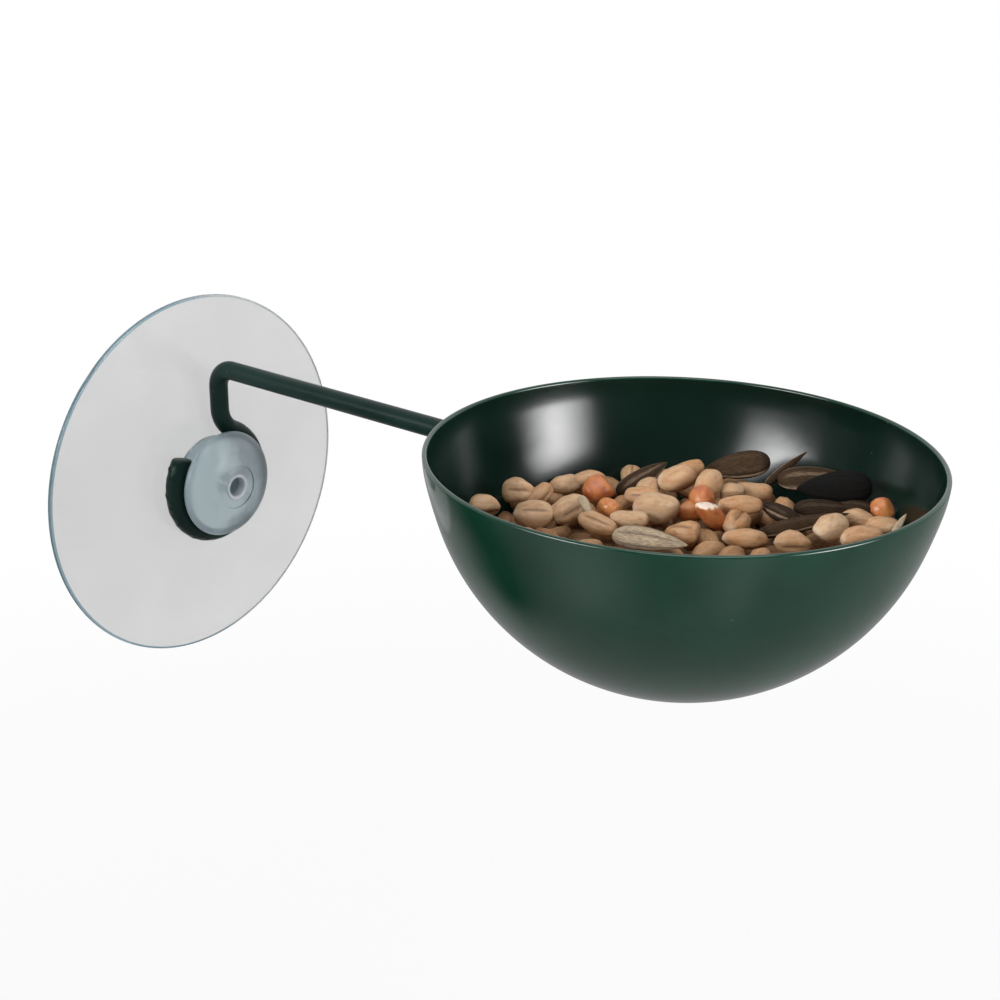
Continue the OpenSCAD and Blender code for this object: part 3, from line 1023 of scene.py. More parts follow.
@dataclass
class WireArm:
    """One bent wire that hooks round the cup's neck, and its weld at the bowl. Sizes are in millimetres."""

    bowl: BowlForm
    wire_d: float = 4.0
    arm_offset: float = 2.0
    ring_r: float = 11.72
    ring_out: float = 5.82
    end_angle: float = 141.5
    hook_bend_r: float = 6.6
    hook_drop: float = 4.7
    arm_bend_r: float = 4.5
    sink: float = 0.4
    step: float = 0.3
    columns: int = 36
    crease_deg: float = 50.0
    lump: float = 0.24
    lump_seed: int = 11
    lump_waves: int = 18
    lump_rate: Range = (1.0, 3.8)
    lump_folds: int = 4
    lump_swell: float = 2.6
    lump_dip: float = 0.2
    old_paint_end: float = 0.54
    old_paint_fade: float = 0.45
    end_bevel: float = 0.35
    bevel_loss: float = 0.25
    cut_slant: float = 0.45
    cut_run: float = 3.0
    weld_r: float = 1.25
    weld_out: float = 0.5
    weld_rows: int = 72
    weld_columns: int = 20
    weld_waves: tuple[tuple[int, float, float], ...] = ((5, 0.07, 1.0), (11, 0.05, 0.0))
    finish: GreenPaint = GreenPaint(
        "green_wire_paint", (0.005, 0.022, 0.0175), (0.003, 0.0145, 0.0115), peel_mm=0.7, peel_depth_mm=0.08,
        peel_strength=0.25, gloss_low=0.3, gloss_high=0.4, specular=0.17,
    )

    @property
    def start_angle(self) -> float:
        """Angle at which the ring runs into the hook's bend, in degrees."""
        bend_x = self.arm_offset + self.hook_bend_r
        return math.degrees(math.acos(bend_x / (self.ring_r + self.hook_bend_r)))

    @property
    def ring_turn(self) -> float:
        """Angle through which the ring goes round the neck, in degrees."""
        return 360 + self.start_angle - self.end_angle

    @property
    def arm_z(self) -> float:
        """Height of the straight arm."""
        bend_z = (self.ring_r + self.hook_bend_r) * math.sin(math.radians(self.start_angle))
        return bend_z + self.hook_drop + self.arm_bend_r

    def steps(self, radius: float, angle: float) -> int:
        """Number of steps along an arc of an angle in degrees."""
        return round(math.radians(angle) * radius / self.step)

    def path(self) -> tuple[Array, Array, Array]:
        """Centre line from the hook's cut end to the bowl: ring, bend, drop, quarter bend and straight arm.

        Returns:
            The points, the direction of the wire and a side direction at each of them.
        """
        start, offset, bend_r = self.start_angle, self.arm_offset, self.arm_bend_r
        drop_top = self.arm_z - bend_r
        hook_z = drop_top - self.hook_drop
        ring_steps, hook_steps = self.steps(self.ring_r, self.ring_turn), self.steps(self.hook_bend_r, start)
        ring = arc((0, 0), self.ring_r, self.end_angle, 360 + start, ring_steps)
        hook_middle = (offset + self.hook_bend_r, hook_z)
        bend = arc(hook_middle, self.hook_bend_r, 180 + start, 180, hook_steps)[1:]
        drop = line((offset, hook_z), (offset, drop_top), round(self.hook_drop / self.step))[1:]
        flat = np.concatenate([ring, bend, drop])
        hook = points_at(flat[:, 0], -self.ring_out, flat[:, 1])
        angle = np.radians(np.linspace(0, 90, self.steps(bend_r, 90) + 1)[1:])
        bend_y = -self.ring_out - bend_r
        corner = points_at(offset, bend_y + bend_r * np.cos(angle), drop_top + bend_r * np.sin(angle))
        wall_r = math.sqrt(float(self.bowl.wall_r(self.arm_z, 0.0)) ** 2 - offset**2)
        arm_y = np.arange(bend_y - self.step, wall_r - self.bowl.reach - self.sink, -self.step)
        arm = points_at(offset, arm_y, self.arm_z)
        points = np.concatenate([hook, corner, arm])
        ways = unit(np.gradient(points, axis=0))
        inner = points_at(0.0, -np.cos(angle), -np.sin(angle))
        sides = np.concatenate([np.tile(-INTO_WINDOW, (len(hook), 1)), inner, np.tile(-UP, (len(arm), 1))])
        sides -= (sides * ways).sum(axis=1, keepdims=True) * ways
        return points, ways, unit(sides)

    def surface(self) -> Surface:
        """A round tube along the centre line, with lumps of dried paint on the ring away from the neck.

        The radius is the wire's own plus a mean of waves along and round the wire. The waves are whole at the
        hook's end, and fade over one share of the ring's length, up to where another share ends. The radius
        shrinks over the bevel at the cut end, where the rings also lean, so that the cut is slanted.

        Returns:
            The closed surface.
        """
        points, ways, sides = self.path()
        lengths = np.linalg.norm(np.diff(points, axis=0), axis=1)
        along = np.concatenate([[0], np.cumsum(lengths)])
        turn = full_turn(self.columns)
        others = np.cross(ways, sides)
        spokes = np.cos(turn)[:, None] * sides[:, None] + np.sin(turn)[:, None] * others[:, None]
        away = unit(points * (RIGHT + UP))
        outwards = (spokes * away[:, None]).sum(axis=-1)
        rng = np.random.default_rng(self.lump_seed)
        rates = rng.uniform(*self.lump_rate, self.lump_waves)
        folds = rng.integers(-self.lump_folds, self.lump_folds + 1, self.lump_waves)
        phases = rng.uniform(0, 6.28, self.lump_waves)
        places = np.stack(np.broadcast_arrays(along[:, None], turn), axis=-1)
        waves = ripple(places, np.stack([rates, folds], axis=-1), phases)
        rough = np.maximum(self.lump_swell * waves, -self.lump_dip)
        ring_length = math.radians(self.ring_turn) * self.ring_r
        ahead = self.old_paint_end - along / ring_length
        old_paint = np.clip(ahead / self.old_paint_fade, 0.0, 1.0)[:, None]
        radius = self.wire_d / 2 + self.lump * np.clip(outwards, 0, 1) * old_paint * rough
        bevel = np.clip(along / self.end_bevel, 0, 1)
        radius *= np.sqrt(1 - self.bevel_loss * (1 - bevel) ** 2)[:, None]
        slant = self.cut_slant * np.clip(1 - along / self.cut_run, 0, 1)
        shear = slant[:, None] * radius * outwards
        rings = points[:, None] + radius[..., None] * spokes + shear[..., None] * ways[:, None]
        return closed_grid(rings[None], points[:1], points[-1:])

    def weld_surface(self) -> Surface:
        """A lumpy ring of weld metal round the arm's end.

        Its centre line goes round the wire at the wire's radius and follows the bowl's wall, a little outside
        it. Its radius swells and shrinks with waves, each given by its count to the turn, height and phase.

        Returns:
            The closed ring.
        """
        around = full_turn(self.weld_rows)
        x = self.arm_offset + self.wire_d / 2 * np.cos(around)
        z = self.arm_z + self.wire_d / 2 * np.sin(around)
        y = np.sqrt(self.bowl.wall_r(z, 0.0) ** 2 - x**2) - self.bowl.reach + self.weld_out
        centre = points_at(x, y, z)
        out = points_at(np.cos(around), 0.0, np.sin(around))
        turn = full_turn(self.weld_columns)[:, None]
        swell = 1 + sum(height * np.cos(count * around + phase) for count, height, phase in self.weld_waves)
        side = np.cos(turn) * out[:, None] + np.sin(turn) * INTO_WINDOW
        rings = centre[:, None] + self.weld_r * swell[:, None, None] * side
        row, column = np.meshgrid(np.arange(self.weld_rows), np.arange(self.weld_columns), indexing="ij")
        next_row, next_column = (row + 1) % self.weld_rows, (column + 1) % self.weld_columns
        corners = [(row, column), (next_row, column), (next_row, next_column), (row, next_column)]
        quads = np.stack([r * self.weld_columns + c for r, c in corners], axis=-1).reshape(-1, 4)
        return Surface(rings.reshape(-1, 3), quads, np.empty((0, 3), dtype=np.int64))

    def build(self) -> None:
        """Makes the wire and its weld, both in the same dipped paint."""
        paint = [self.finish.material()]
        add_piece("hooked_wire", self.surface(), paint, Body.FEEDER, "wire_arm", self.crease_deg)
        add_piece("weld_bead", self.weld_surface(), paint, Body.FEEDER, "arm_weld")


# Seed


@dataclass
class Settled:
    """A seed at rest: its turn as a matrix, its middle from the bowl's axis and half of its three sizes."""

    matrix: Array
    middle: Array
    half: Array

    def reach(self, way: Array) -> float:
        """Distance that an egg of this size reaches from its middle in a direction."""
        return float(np.linalg.norm(self.half * (self.matrix.T @ way)))

    def placed(self, own: Array) -> Array:
        """Points of the seed's own frame where the seed rests, from the bowl's axis."""
        return own @ self.matrix.T + self.middle


@dataclass(frozen=True)
class LaidSeed:
    """A listed seed: its middle from the bowl's axis, angles in degrees and sizes in millimetres."""

    x: float
    y: float
    z: float
    turn: float
    tilt: float
    roll: float
    length: float
    width: float
    thickness: float
    husk: Husk = Husk.BROWN
    bend: float = 0.0
    flour: float = 0.0

    def settled(self) -> Settled:
        """The seed at the place where it is laid.

        Returns:
            The seed, not yet let down on the heap.
        """
        matrix = seed_matrix(self.turn, self.tilt, self.roll)
        half = np.array([self.length, self.width, self.thickness]) / 2
        return Settled(matrix, np.array([self.x, self.y, self.z]), half)


WHEAT_BY_HAND: tuple[LaidSeed, ...] = (
    LaidSeed(-12.0, 33.0, 19.8, -45, -6, 120, 6.0, 4.6, 4.4),
    LaidSeed(-4.8, 31.0, 20.2, -60, 0, 60, 6.2, 5.6, 5.2),
    LaidSeed(-3.0, 27.6, 20.0, -10, 25, 90, 6.4, 4.2, 4.0),
    LaidSeed(1.2, 28.0, 19.8, -40, 0, 200, 4.6, 3.8, 3.6),
    LaidSeed(3.6, 26.8, 20.2, -35, 8, 150, 6.2, 4.6, 4.4),
    LaidSeed(7.0, 24.0, 20.4, -70, 15, 100, 6.8, 4.6, 4.4),
    LaidSeed(-11.0, 22.8, 20.2, -52, 0, 45, 7.4, 5.8, 5.4),
    LaidSeed(-6.3, 18.6, 20.4, -20, 18, 75, 7.0, 5.8, 5.2),
    LaidSeed(-7.5, 11.6, 20.2, -84, -8, 40, 7.6, 4.6, 4.4),
    LaidSeed(-3.2, 8.0, 20.3, -55, 0, 160, 6.8, 4.6, 4.4),
    LaidSeed(2.8, 6.4, 21.2, -50, 4, 200, 8.4, 6.8, 6.2),
    LaidSeed(5.0, 10.8, 21.4, -75, 10, 60, 6.6, 4.4, 4.2),
    LaidSeed(10.2, 13.2, 22.0, 10, 20, 180, 7.0, 4.8, 4.6),
    LaidSeed(13.2, 8.8, 22.8, -58, 6, 220, 7.2, 6.0, 5.6),
    LaidSeed(20.0, 10.4, 22.8, -40, 10, 140, 5.4, 4.6, 4.4),
    LaidSeed(14.6, 3.0, 22.8, 0, 20, 190, 6.6, 5.8, 5.4),
    LaidSeed(17.4, -0.4, 22.0, -40, 0, 90, 4.8, 4.2, 4.0),
    LaidSeed(22.4, -1.8, 21.8, -55, 0, 170, 6.8, 5.0, 4.6),
    LaidSeed(-0.4, -1.4, 20.4, -90, 15, 40, 7.0, 5.4, 5.0),
    LaidSeed(8.0, -6.6, 20.8, 15, 0, 20, 7.0, 5.6, 5.2),
    LaidSeed(11.6, -5.2, 21.8, -58, 5, 170, 8.0, 4.2, 4.0),
    LaidSeed(2.6, -11.8, 20.2, -52, 0, 130, 8.2, 4.6, 4.4),
    LaidSeed(16.4, -20.4, 20.3, -20, 8, 210, 7.0, 5.6, 5.2),
    LaidSeed(23.6, -21.6, 19.6, -50, 0, 160, 6.4, 4.8, 4.4),
    LaidSeed(18.4, -25.4, 20.2, -46, 4, 120, 7.6, 4.4, 4.2),
    LaidSeed(24.4, -26.0, 19.4, -48, 6, 180, 7.0, 4.8, 4.4),
    LaidSeed(7.8, -17.8, 19.9, -50, 0, 100, 6.6, 4.6, 4.4),
)

SUNFLOWERS_BY_HAND: tuple[LaidSeed, ...] = (
    LaidSeed(14.2, 16.9, 22.6, -24, 24, 15, 11.5, 4.5, 3.0, Husk.DARK_STRIPED),
    LaidSeed(27.3, 5.0, 23.0, 124, -11, -25, 12.8, 6.4, 3.6, Husk.BROWN),
    LaidSeed(31.0, -2.8, 24.6, -24, 35, 70, 10.5, 1.7, 0.9, Husk.BROWN, 1.8),
    LaidSeed(31.2, -8.8, 24.4, -57, 7, 22, 12.6, 5.6, 3.4, Husk.DARK_STRIPED),
    LaidSeed(27.0, -15.3, 23.3, 125, -4, -32, 13.4, 7.0, 3.8, Husk.BLACK),
    LaidSeed(25.9, -19.8, 20.6, 120, 8, -30, 7.6, 4.6, 3.0, Husk.GREY),
    LaidSeed(22.6, -16.0, 20.7, -52, 2, 20, 11.0, 4.4, 3.0, Husk.GREY),
    LaidSeed(13.8, -16.6, 20.8, -33, 6, 10, 18.0, 3.2, 2.8, Husk.BROWN),
    LaidSeed(15.6, -10.4, 20.9, 66, -2, 15, 10.5, 4.6, 3.0, Husk.GREY),
    LaidSeed(-8.7, 0.1, 20.6, -71, 0, 20, 13.0, 5.2, 3.2, Husk.PALE_STRIPED),
    LaidSeed(-7.0, 14.6, 22.2, -110, -35, 30, 4.6, 1.7, 0.8, Husk.CHAFF, 0.8),
    LaidSeed(24.6, -29.2, 22.4, -20, 50, 40, 4.4, 1.3, 0.7, Husk.CHAFF, 0.5),
)

MAIZE_BY_HAND: tuple[LaidSeed, ...] = (
    LaidSeed(4.4, 20.0, 20.8, -30, 8, 40, 6.6, 5.4, 4.4),
    LaidSeed(-2.0, 13.2, 20.7, 70, -12, 80, 4.8, 4.4, 3.8),
    LaidSeed(11.0, 2.2, 21.6, 45, 15, 150, 5.2, 4.8, 4.2),
    LaidSeed(8.4, 3.4, 21.0, 130, 20, 60, 5.0, 4.2, 3.8, flour=0.75),
    LaidSeed(5.6, -3.0, 21.4, 150, 48, 20, 8.0, 4.0, 3.6, flour=1.0),
    LaidSeed(28.5, -24.1, 20.9, -60, 10, 60, 5.0, 4.4, 4.0),
)


@dataclass(frozen=True)
class Dent:
    """A slow wave on a grain: its turns along and round it, and its height as a share of the radius."""

    along: float
    around: float
    height: float


@dataclass(frozen=True)
class WheatGrain:
    """Shape of wheat grains, as shares of their half sizes. Each draws its own numbers from the ranges."""

    bluntness: Range = (0.62, 0.98)
    taper: float = 0.13
    fullness: float = 0.95
    crease_depth: Range = (0.14, 0.34)
    crease_width: float = 0.22
    crease_fade: float = 0.6
    dents: tuple[Dent, ...] = (Dent(2, 2, 0.05), Dent(0, 3, 0.045), Dent(5, -1, 0.035), Dent(7, 4, 0.022))
    flats: int = 6
    flat_distance: Range = (0.68, 0.98)
    flat_lean: tuple[float, float, float] = (0.6, 1.0, 1.0)
    flat_power: float = 10.0
    bend: Range = (-0.16, 0.16)
    tint_power: float = 1.3

    def surface(self, laid: list[Settled], rng: np.random.Generator, rows: int, columns: int) -> Surface:
        """Eggs along X that narrow to their germ end, creased along one side, dented, flattened and bent.

        The radius is the sine of the way along to a power that differs by grain, times a taper, less the
        crease, which is a narrow bell round the top that fades to both ends, plus a few slow waves. Then a
        handful of planes flatten the grain: a point shrinks by the sum, over the planes, of its reach towards
        each plane divided by the plane's distance, to a high power, plus one, taken to the power minus one
        over it. Last, the grain is bent by the square of its length.

        Args:
            laid: the grains.
            rng: source of the grains' own numbers.
            rows: rings of each grain.
            columns: points of each ring.

        Returns:
            All the grains, with their marks.
        """
        count = len(laid)
        each = (count, 1, 1)
        turns = np.stack([grain.matrix for grain in laid])
        middles = np.stack([grain.middle for grain in laid])
        halves = np.stack([grain.half for grain in laid])
        way = np.linspace(0, np.pi, rows + 2)[1:-1, None]
        turn = full_turn(columns)
        along = (1 - np.cos(way)) / 2
        body = np.sin(way) ** rng.uniform(*self.bluntness, each) * (1 - self.taper * along)
        off_top = np.abs((turn + np.pi / 2) % (2 * np.pi) - np.pi)
        bell = np.exp(-((off_top / self.crease_width) ** 2))
        crease = rng.uniform(*self.crease_depth, each) * np.sin(way) ** self.crease_fade * bell
        phases = rng.uniform(0, 2 * np.pi, (count, len(self.dents), 1, 1))
        dents = sum(
            dent.height * np.cos(dent.along * way + dent.around * turn + phases[:, number])
            for number, dent in enumerate(self.dents)
        )
        radius = body * (self.fullness - crease + dents)
        own = points_at(-np.cos(way), radius * np.cos(turn), radius * np.sin(turn))
        planes = unit(rng.normal(size=(count, self.flats, 3)) * np.array(self.flat_lean))
        planes /= rng.uniform(*self.flat_distance, (count, self.flats, 1))
        towards = np.maximum(np.einsum("nrcj,npj->nrcp", own, planes), 0)
        own *= ((towards**self.flat_power).sum(axis=-1, keepdims=True) + 1) ** (-1 / self.flat_power)
        own[..., 2] += rng.uniform(*self.bend, each) * (1 - own[..., 0] ** 2)
        own *= halves[:, None, None]
        rings = np.einsum("nij,nrcj->nrci", turns, own) + middles[:, None, None]
        tip = turns[:, :, 0] * halves[:, :1]
        made = closed_grid(rings, middles - tip, middles + tip)
        place = points_at(along, np.cos(turn), np.sin(turn)).reshape(-1, 3)
        made.marks[SEED_PLACE] = np.tile(np.concatenate([place, [0 * RIGHT, RIGHT]]), (count, 1))
        made.marks[SEED_TINT] = np.repeat(rng.uniform(0, 1, count) ** self.tint_power, rows * columns + 2)
        return made


@dataclass(frozen=True)
class SunflowerSeed:
    """Shape of a sunflower seed, as powers and shares of its half sizes."""

    blunt_power: float = 0.42
    tip_power: float = 0.8
    widest: float = 0.456
    thinning: float = 1.15
    lens_power: float = 1.25
    ribs: int = 12
    rib_height: float = 0.03
    rows: int = 30
    columns: int = 36

    def surface(self, seed: LaidSeed, laid: Settled) -> Surface:
        """A seed along X, blunt at one end and pointed at the other.

        The half width is the way from the blunt end to one power times the way from the tip to another,
        scaled to reach one. Its cross-section is a lens: the thickness falls with the width, and low ribs run
        along it. A bend lifts the tip by the square of the way along.

        Args:
            seed: the seed's bend and husk.
            laid: the seed at rest.

        Returns:
            The seed, with its marks.
        """
        way = (1 - np.cos(np.linspace(0, np.pi, self.rows + 2)[1:-1, None])) / 2
        body = way**self.blunt_power * (1 - way) ** self.tip_power / self.widest
        turn = full_turn(self.columns)
        cosine, sine = np.cos(turn), np.sin(turn)
        ribs = 1 + self.rib_height * np.cos(self.ribs * turn)
        thick = body**self.thinning * np.sign(sine) * np.abs(sine) ** self.lens_power * ribs
        own = points_at(2 * way - 1, body * cosine * ribs, thick) * laid.half
        own[..., 2] += seed.bend * way**2
        tip = laid.half[0] * RIGHT
        made = closed_grid(
            laid.placed(own)[None], laid.placed(-tip)[None], laid.placed(tip + seed.bend * UP)[None]
        )
        place = points_at(way, cosine, sine).reshape(-1, 3)
        made.marks[SEED_PLACE] = np.concatenate([place, [UP, RIGHT + UP]])
        tone, stripe = seed.husk.value
        made.marks[HUSK_TONE] = np.full(len(made.points), tone)
        made.marks[HUSK_STRIPE] = np.full(len(made.points), stripe)
        return made


@dataclass(frozen=True)
class MaizeKernel:
    """Shape of a broken kernel, as shares of its half sizes. The first of its planes is the break."""

    planes: int = 11
    distance: Range = (0.85, 1.05)
    break_way: tuple[float, float, float] = (0.9, 0.2, 0.39)
    break_distance: float = 0.7
    power: float = 9.0
    roundness: float = 0.6
    break_power: float = 4.0
    rows: int = 22
    columns: int = 30

    @staticmethod
    def in_order(values: Array) -> Array:
        """Values of a grid whose first and last row are poles, in the order of the closed grid's points."""
        return np.concatenate([values[1:-1].reshape(-1, *values.shape[2:]), values[:1, 0], values[-1:, 0]])

    def surface(self, seed: LaidSeed, laid: Settled, rng: np.random.Generator) -> Surface:
        """A ball flattened by a handful of planes whose edges are softened.

        The radius in a direction is the sum, over the planes, of that direction's reach towards each plane
        divided by its distance, to a high power, plus a little roundness, taken to the power minus one over
        it, and at most one.

        Args:
            seed: the kernel's share of flour.
            laid: the kernel at rest.
            rng: source of the kernel's own numbers.

        Returns:
            The kernel, with its marks.
        """
        way = np.linspace(0, np.pi, self.rows + 2)[:, None]
        turn = full_turn(self.columns)
        ways = points_at(np.sin(way) * np.cos(turn), np.sin(way) * np.sin(turn), -np.cos(way))
        planes = unit(rng.normal(size=(self.planes, 3)))
        planes[0] = self.break_way
        distances = rng.uniform(*self.distance, self.planes)
        distances[0] = self.break_distance
        towards = np.maximum(ways @ planes.T, 0) / distances
        radius = ((towards**self.power).sum(axis=-1) + self.roundness) ** (-1 / self.power)
        placed = laid.placed(ways * np.minimum(radius, 1.0)[..., None] * laid.half)
        made = closed_grid(placed[None, 1:-1], placed[:1, 0], placed[-1:, 0])
        made.marks[SEED_PLACE] = self.in_order(ways) * 0.5 + 0.5
        made.marks[SEED_TINT] = np.full(len(made.points), rng.uniform())
        breaks = seed.flour * towards[..., 0] / towards.max(axis=-1)
        made.marks[FLOURY] = self.in_order(breaks) ** self.break_power
        return made


@dataclass(frozen=True)
class Footprint:
    """Cells of the map under a seed, with its lower and upper face over them, from the seed's middle."""

    window: tuple[slice, ...]
    low: Array
    top: Array


@dataclass
class Heap:
    """Height map on which seeds come to rest one after another, in millimetres from the bowl's axis.

    Attributes:
        edge_z: height of the finished bed's edge.
        rise: height of its middle above its edge.
        edge_r: radius of its edge.
        sink: distance that the first bed lies below the finished one.
        margin: width of the map beyond the edge.
        cell: width of a cell of the map.
    """

    edge_z: float
    rise: float
    edge_r: float
    sink: float
    margin: float = 8.0
    cell: float = 0.4

    def __post_init__(self) -> None:
        """Starts with a domed bed below the finished heap."""
        self.cells = np.arange(-self.edge_r - self.margin, self.edge_r + self.margin, self.cell)
        x, y = np.meshgrid(self.cells, self.cells, indexing="ij")
        self.height = self.dome(x, y) - self.sink
        self.ceiling = np.full(self.height.shape, np.inf)
        self.taken = np.zeros(self.height.shape, dtype=bool)

    @property
    def ball_r(self) -> float:
        """Radius of the ball whose cap the finished bed is."""
        return (self.edge_r**2 + self.rise**2) / (2 * self.rise)

    def dome(self, x: Array | float, y: Array | float) -> Array:
        """Height of the finished bed: a ball's cap of the stated rise over its edge."""
        return self.edge_z + self.rise - self.ball_r + np.sqrt(self.ball_r**2 - x**2 - y**2)

    def footprint(self, seed: Settled) -> Footprint:
        """Cells that an egg-shaped seed covers.

        Its lower and upper face are the two roots of the quadratic that the egg's matrix gives for the
        height.

        Args:
            seed: the seed.

        Returns:
            The cells and the two faces, which are endlessly high and low beside the seed.
        """
        reach = float(seed.half.max())
        count = int(2 * reach / self.cell) + 2
        first = [max(int((v - reach - self.cells[0]) / self.cell), 0) for v in seed.middle[:2]]
        window = tuple(slice(start, start + count) for start in first)
        off = [self.cells[part] - v for part, v in zip(window, seed.middle)]
        dx, dy = np.meshgrid(*off, indexing="ij")
        form = seed.matrix @ np.diag(1 / seed.half**2) @ seed.matrix.T
        linear = form[0, 2] * dx + form[1, 2] * dy
        constant = form[0, 0] * dx**2 + 2 * form[0, 1] * dx * dy + form[1, 1] * dy**2 - 1
        inside = linear**2 - form[2, 2] * constant
        root = np.sqrt(np.maximum(inside, 0))
        low = np.where(inside > 0, (-linear - root) / form[2, 2], np.inf)
        return Footprint(window, low, np.where(inside > 0, (-linear + root) / form[2, 2], -np.inf))

    def rest_z(self, mark: Footprint) -> float:
        """Height of a seed's middle when it is let down until it touches the heap."""
        return float((self.height[mark.window] - mark.low).max())

    def headroom(self, mark: Footprint, z: float) -> float:
        """Room between a seed's top, with its middle at a height, and the seeds that are laid over it."""
        return float((self.ceiling[mark.window] - mark.top).min()) - z

    def taken_share(self, mark: Footprint) -> float:
        """Share of a seed's cells that listed seeds take up."""
        covered = np.isfinite(mark.top)
        return float((self.taken[mark.window] & covered).sum() / covered.sum())

    def hang(self, mark: Footprint, z: float) -> None:
        """Keeps the room of a listed seed free from what is let down before it."""
        self.ceiling[mark.window] = np.minimum(self.ceiling[mark.window], z + mark.low)
        self.taken[mark.window] |= np.isfinite(mark.top)

    def add(self, mark: Footprint, z: float) -> None:
        """Raises the map by a seed whose middle lies at a height."""
        self.height[mark.window] = np.maximum(self.height[mark.window], z + mark.top)


@dataclass
class SeedMix:
    """Seed in the bowl: a bed, wheat grains, sunflower seeds and broken maize. Sizes are in millimetres."""

    bowl: BowlForm
    seed_drop: float = 20.0
    heap_rise: float = 4.0
    bed_gap: float = 0.3
    first_sink: float = 5.6
    wall_gap: float = 0.2
    wheat_l: float = 6.8
    wheat_d: float = 4.9
    wheat_size: Range = (0.84, 1.12)
    wheat_tilt: float = 16.0
    layer: float = 4.6
    last_layer: float = 5.1
    give: float = 0.7
    most_taken: float = 0.15
    past_edge: float = 1.0
    tries: int = 24
    most_under: int = 430
    most_last: int = 140
    draw_seed: int = 5
    wheat_rows: int = 16
    wheat_columns: int = 20
    under_rows: int = 8
    under_columns: int = 10
    bed_rows: int = 46
    bed_top_rows: int = 40
    bed_columns: int = 150
    pebbles: int = 190
    pebble_r: float = 3.6
    pebble_depth: float = 2.2
    pebble_fade: float = 5.0
    same_face: float = 0.01
    crease_clear: float = 30.0
    grain: WheatGrain = WheatGrain()
    flower: SunflowerSeed = SunflowerSeed()
    kernel: MaizeKernel = MaizeKernel()
    wheat_finish: WheatSkin = WheatSkin()
    bed_finish: WheatSkin = WheatSkin("shaded_wheat_skin", (0.46, 0.27, 0.135), (0.26, 0.115, 0.04))
    husk_finish: StripedHusk = StripedHusk()
    maize_finish: MaizeFlint = MaizeFlint()

    def __post_init__(self) -> None:
        """Works out the bed, whose underside and top are two balls' caps, and starts the heap.

        The two meet at the height at which both circles have the same radius.
        """
        self.bed_ball_r = self.bowl.ball_r - self.bowl.wall - self.bed_gap
        self.edge_z = self.bowl.rim_z - self.seed_drop
        self.edge_r = math.sqrt(self.bed_ball_r**2 - (self.bowl.ball_z - self.edge_z) ** 2)
        self.heap = Heap(self.edge_z, self.heap_rise, self.edge_r, self.first_sink)
        self.rng = np.random.default_rng(self.draw_seed)
        low_z, top_ball_r = self.bowl.ball_z, self.heap.ball_r
        top_z = self.edge_z + self.heap_rise - top_ball_r - self.first_sink
        meet_z = (top_ball_r**2 - self.bed_ball_r**2 + low_z**2 - top_z**2) / (2 * (low_z - top_z))
        self.bed_edge = math.asin((meet_z - low_z) / self.bed_ball_r)
        self.bed_r = self.bed_ball_r * math.cos(self.bed_edge)

    def bed_top(self) -> Array:
        """Radius and height of the bed's top, the heap's sunken dome, from near its edge to its middle."""
        r = np.linspace(self.bed_r, 0, self.bed_top_rows)[1:]
        return np.stack([r, self.heap.dome(r, 0.0) - self.first_sink], axis=-1)

    def pebble_middles(self) -> Array:
        """Middles of the bed's pebbles, on spirals that turn by the golden angle.

        On the underside they are evenly spread in height, and on the top evenly in the square of the radius.

        Returns:
            The middles, first those of the underside.
        """
        share = (np.arange(self.pebbles) + 0.5) / self.pebbles
        spin = np.arange(self.pebbles) * math.pi * (3 - math.sqrt(5))
        cosine, sine = np.cos(spin), np.sin(spin)
        low_z = -1 + share * (1 + math.sin(self.bed_edge))
        low_r = np.sqrt(1 - low_z**2)
        lower = points_at(low_r * cosine, low_r * sine, low_z) * self.bed_ball_r + self.bowl.ball_z * UP
        top_r = self.bed_r * np.sqrt(share)
        top_z = np.interp(top_r, *self.bed_top()[::-1].T)
        return np.concatenate([lower, points_at(top_r * cosine, top_r * sine, top_z)])

    def bed(self) -> Surface:
        """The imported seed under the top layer: a lens between two balls, drawn in between pebbles.

        The underside is an arc of the ball that the bowl holds, and the top an arc of the heap's own ball,
        sunk below the grains. A point moves inwards along its normal by the pebbles' depth, which fades to
        nothing at the edge, times one minus the half circle of its distance to the nearest pebble middle.

        Returns:
            The closed surface with its marks.
        """
        ball_middle = self.bowl.ball_z
        under = arc((0, ball_middle), self.bed_ball_r, -90, math.degrees(self.bed_edge), self.bed_rows)
        profile = np.concatenate([under, self.bed_top()])
        profile[[0, -1], 0] = 0
        made = turned(profile, self.bed_columns, RIGHT, INTO_WINDOW, UP)
        from_ball = made.points - ball_middle * UP
        off_ball = np.abs(np.linalg.norm(from_ball, axis=1, keepdims=True) - self.bed_ball_r)
        normals = np.where(off_ball > self.same_face, UP, from_ball / self.bed_ball_r)
        middles = self.pebble_middles()
        gaps = np.linalg.norm(made.points[:, None] - middles, axis=-1)
        far = np.clip(gaps.min(axis=1) / self.pebble_r, 0, 1)
        fade = np.clip((self.bed_r - np.hypot(*made.points[:, :2].T)) / self.pebble_fade, 0, 1)
        made.points -= normals * (self.pebble_depth * fade * (1 - np.sqrt(1 - far**2)))[:, None]
        tint = self.rng.uniform(0, 1, len(middles))[gaps.argmin(axis=1)]
        x, y, z = made.points.T / self.wheat_l
        made.marks = {SEED_PLACE: points_at(0.5, x + z, y - self.crease_clear), SEED_TINT: tint}
        return made

    def in_bowl(self, seed: Settled) -> bool:
        """Whether a seed keeps clear of the bowl's inner ball.

        Args:
            seed: the seed.

        Returns:
            True where it does.
        """
        from_ball = seed.middle - self.bowl.ball_z * UP
        far = float(np.linalg.norm(from_ball))
        return far + seed.reach(from_ball / far) < self.bowl.ball_r - self.bowl.wall - self.wall_gap

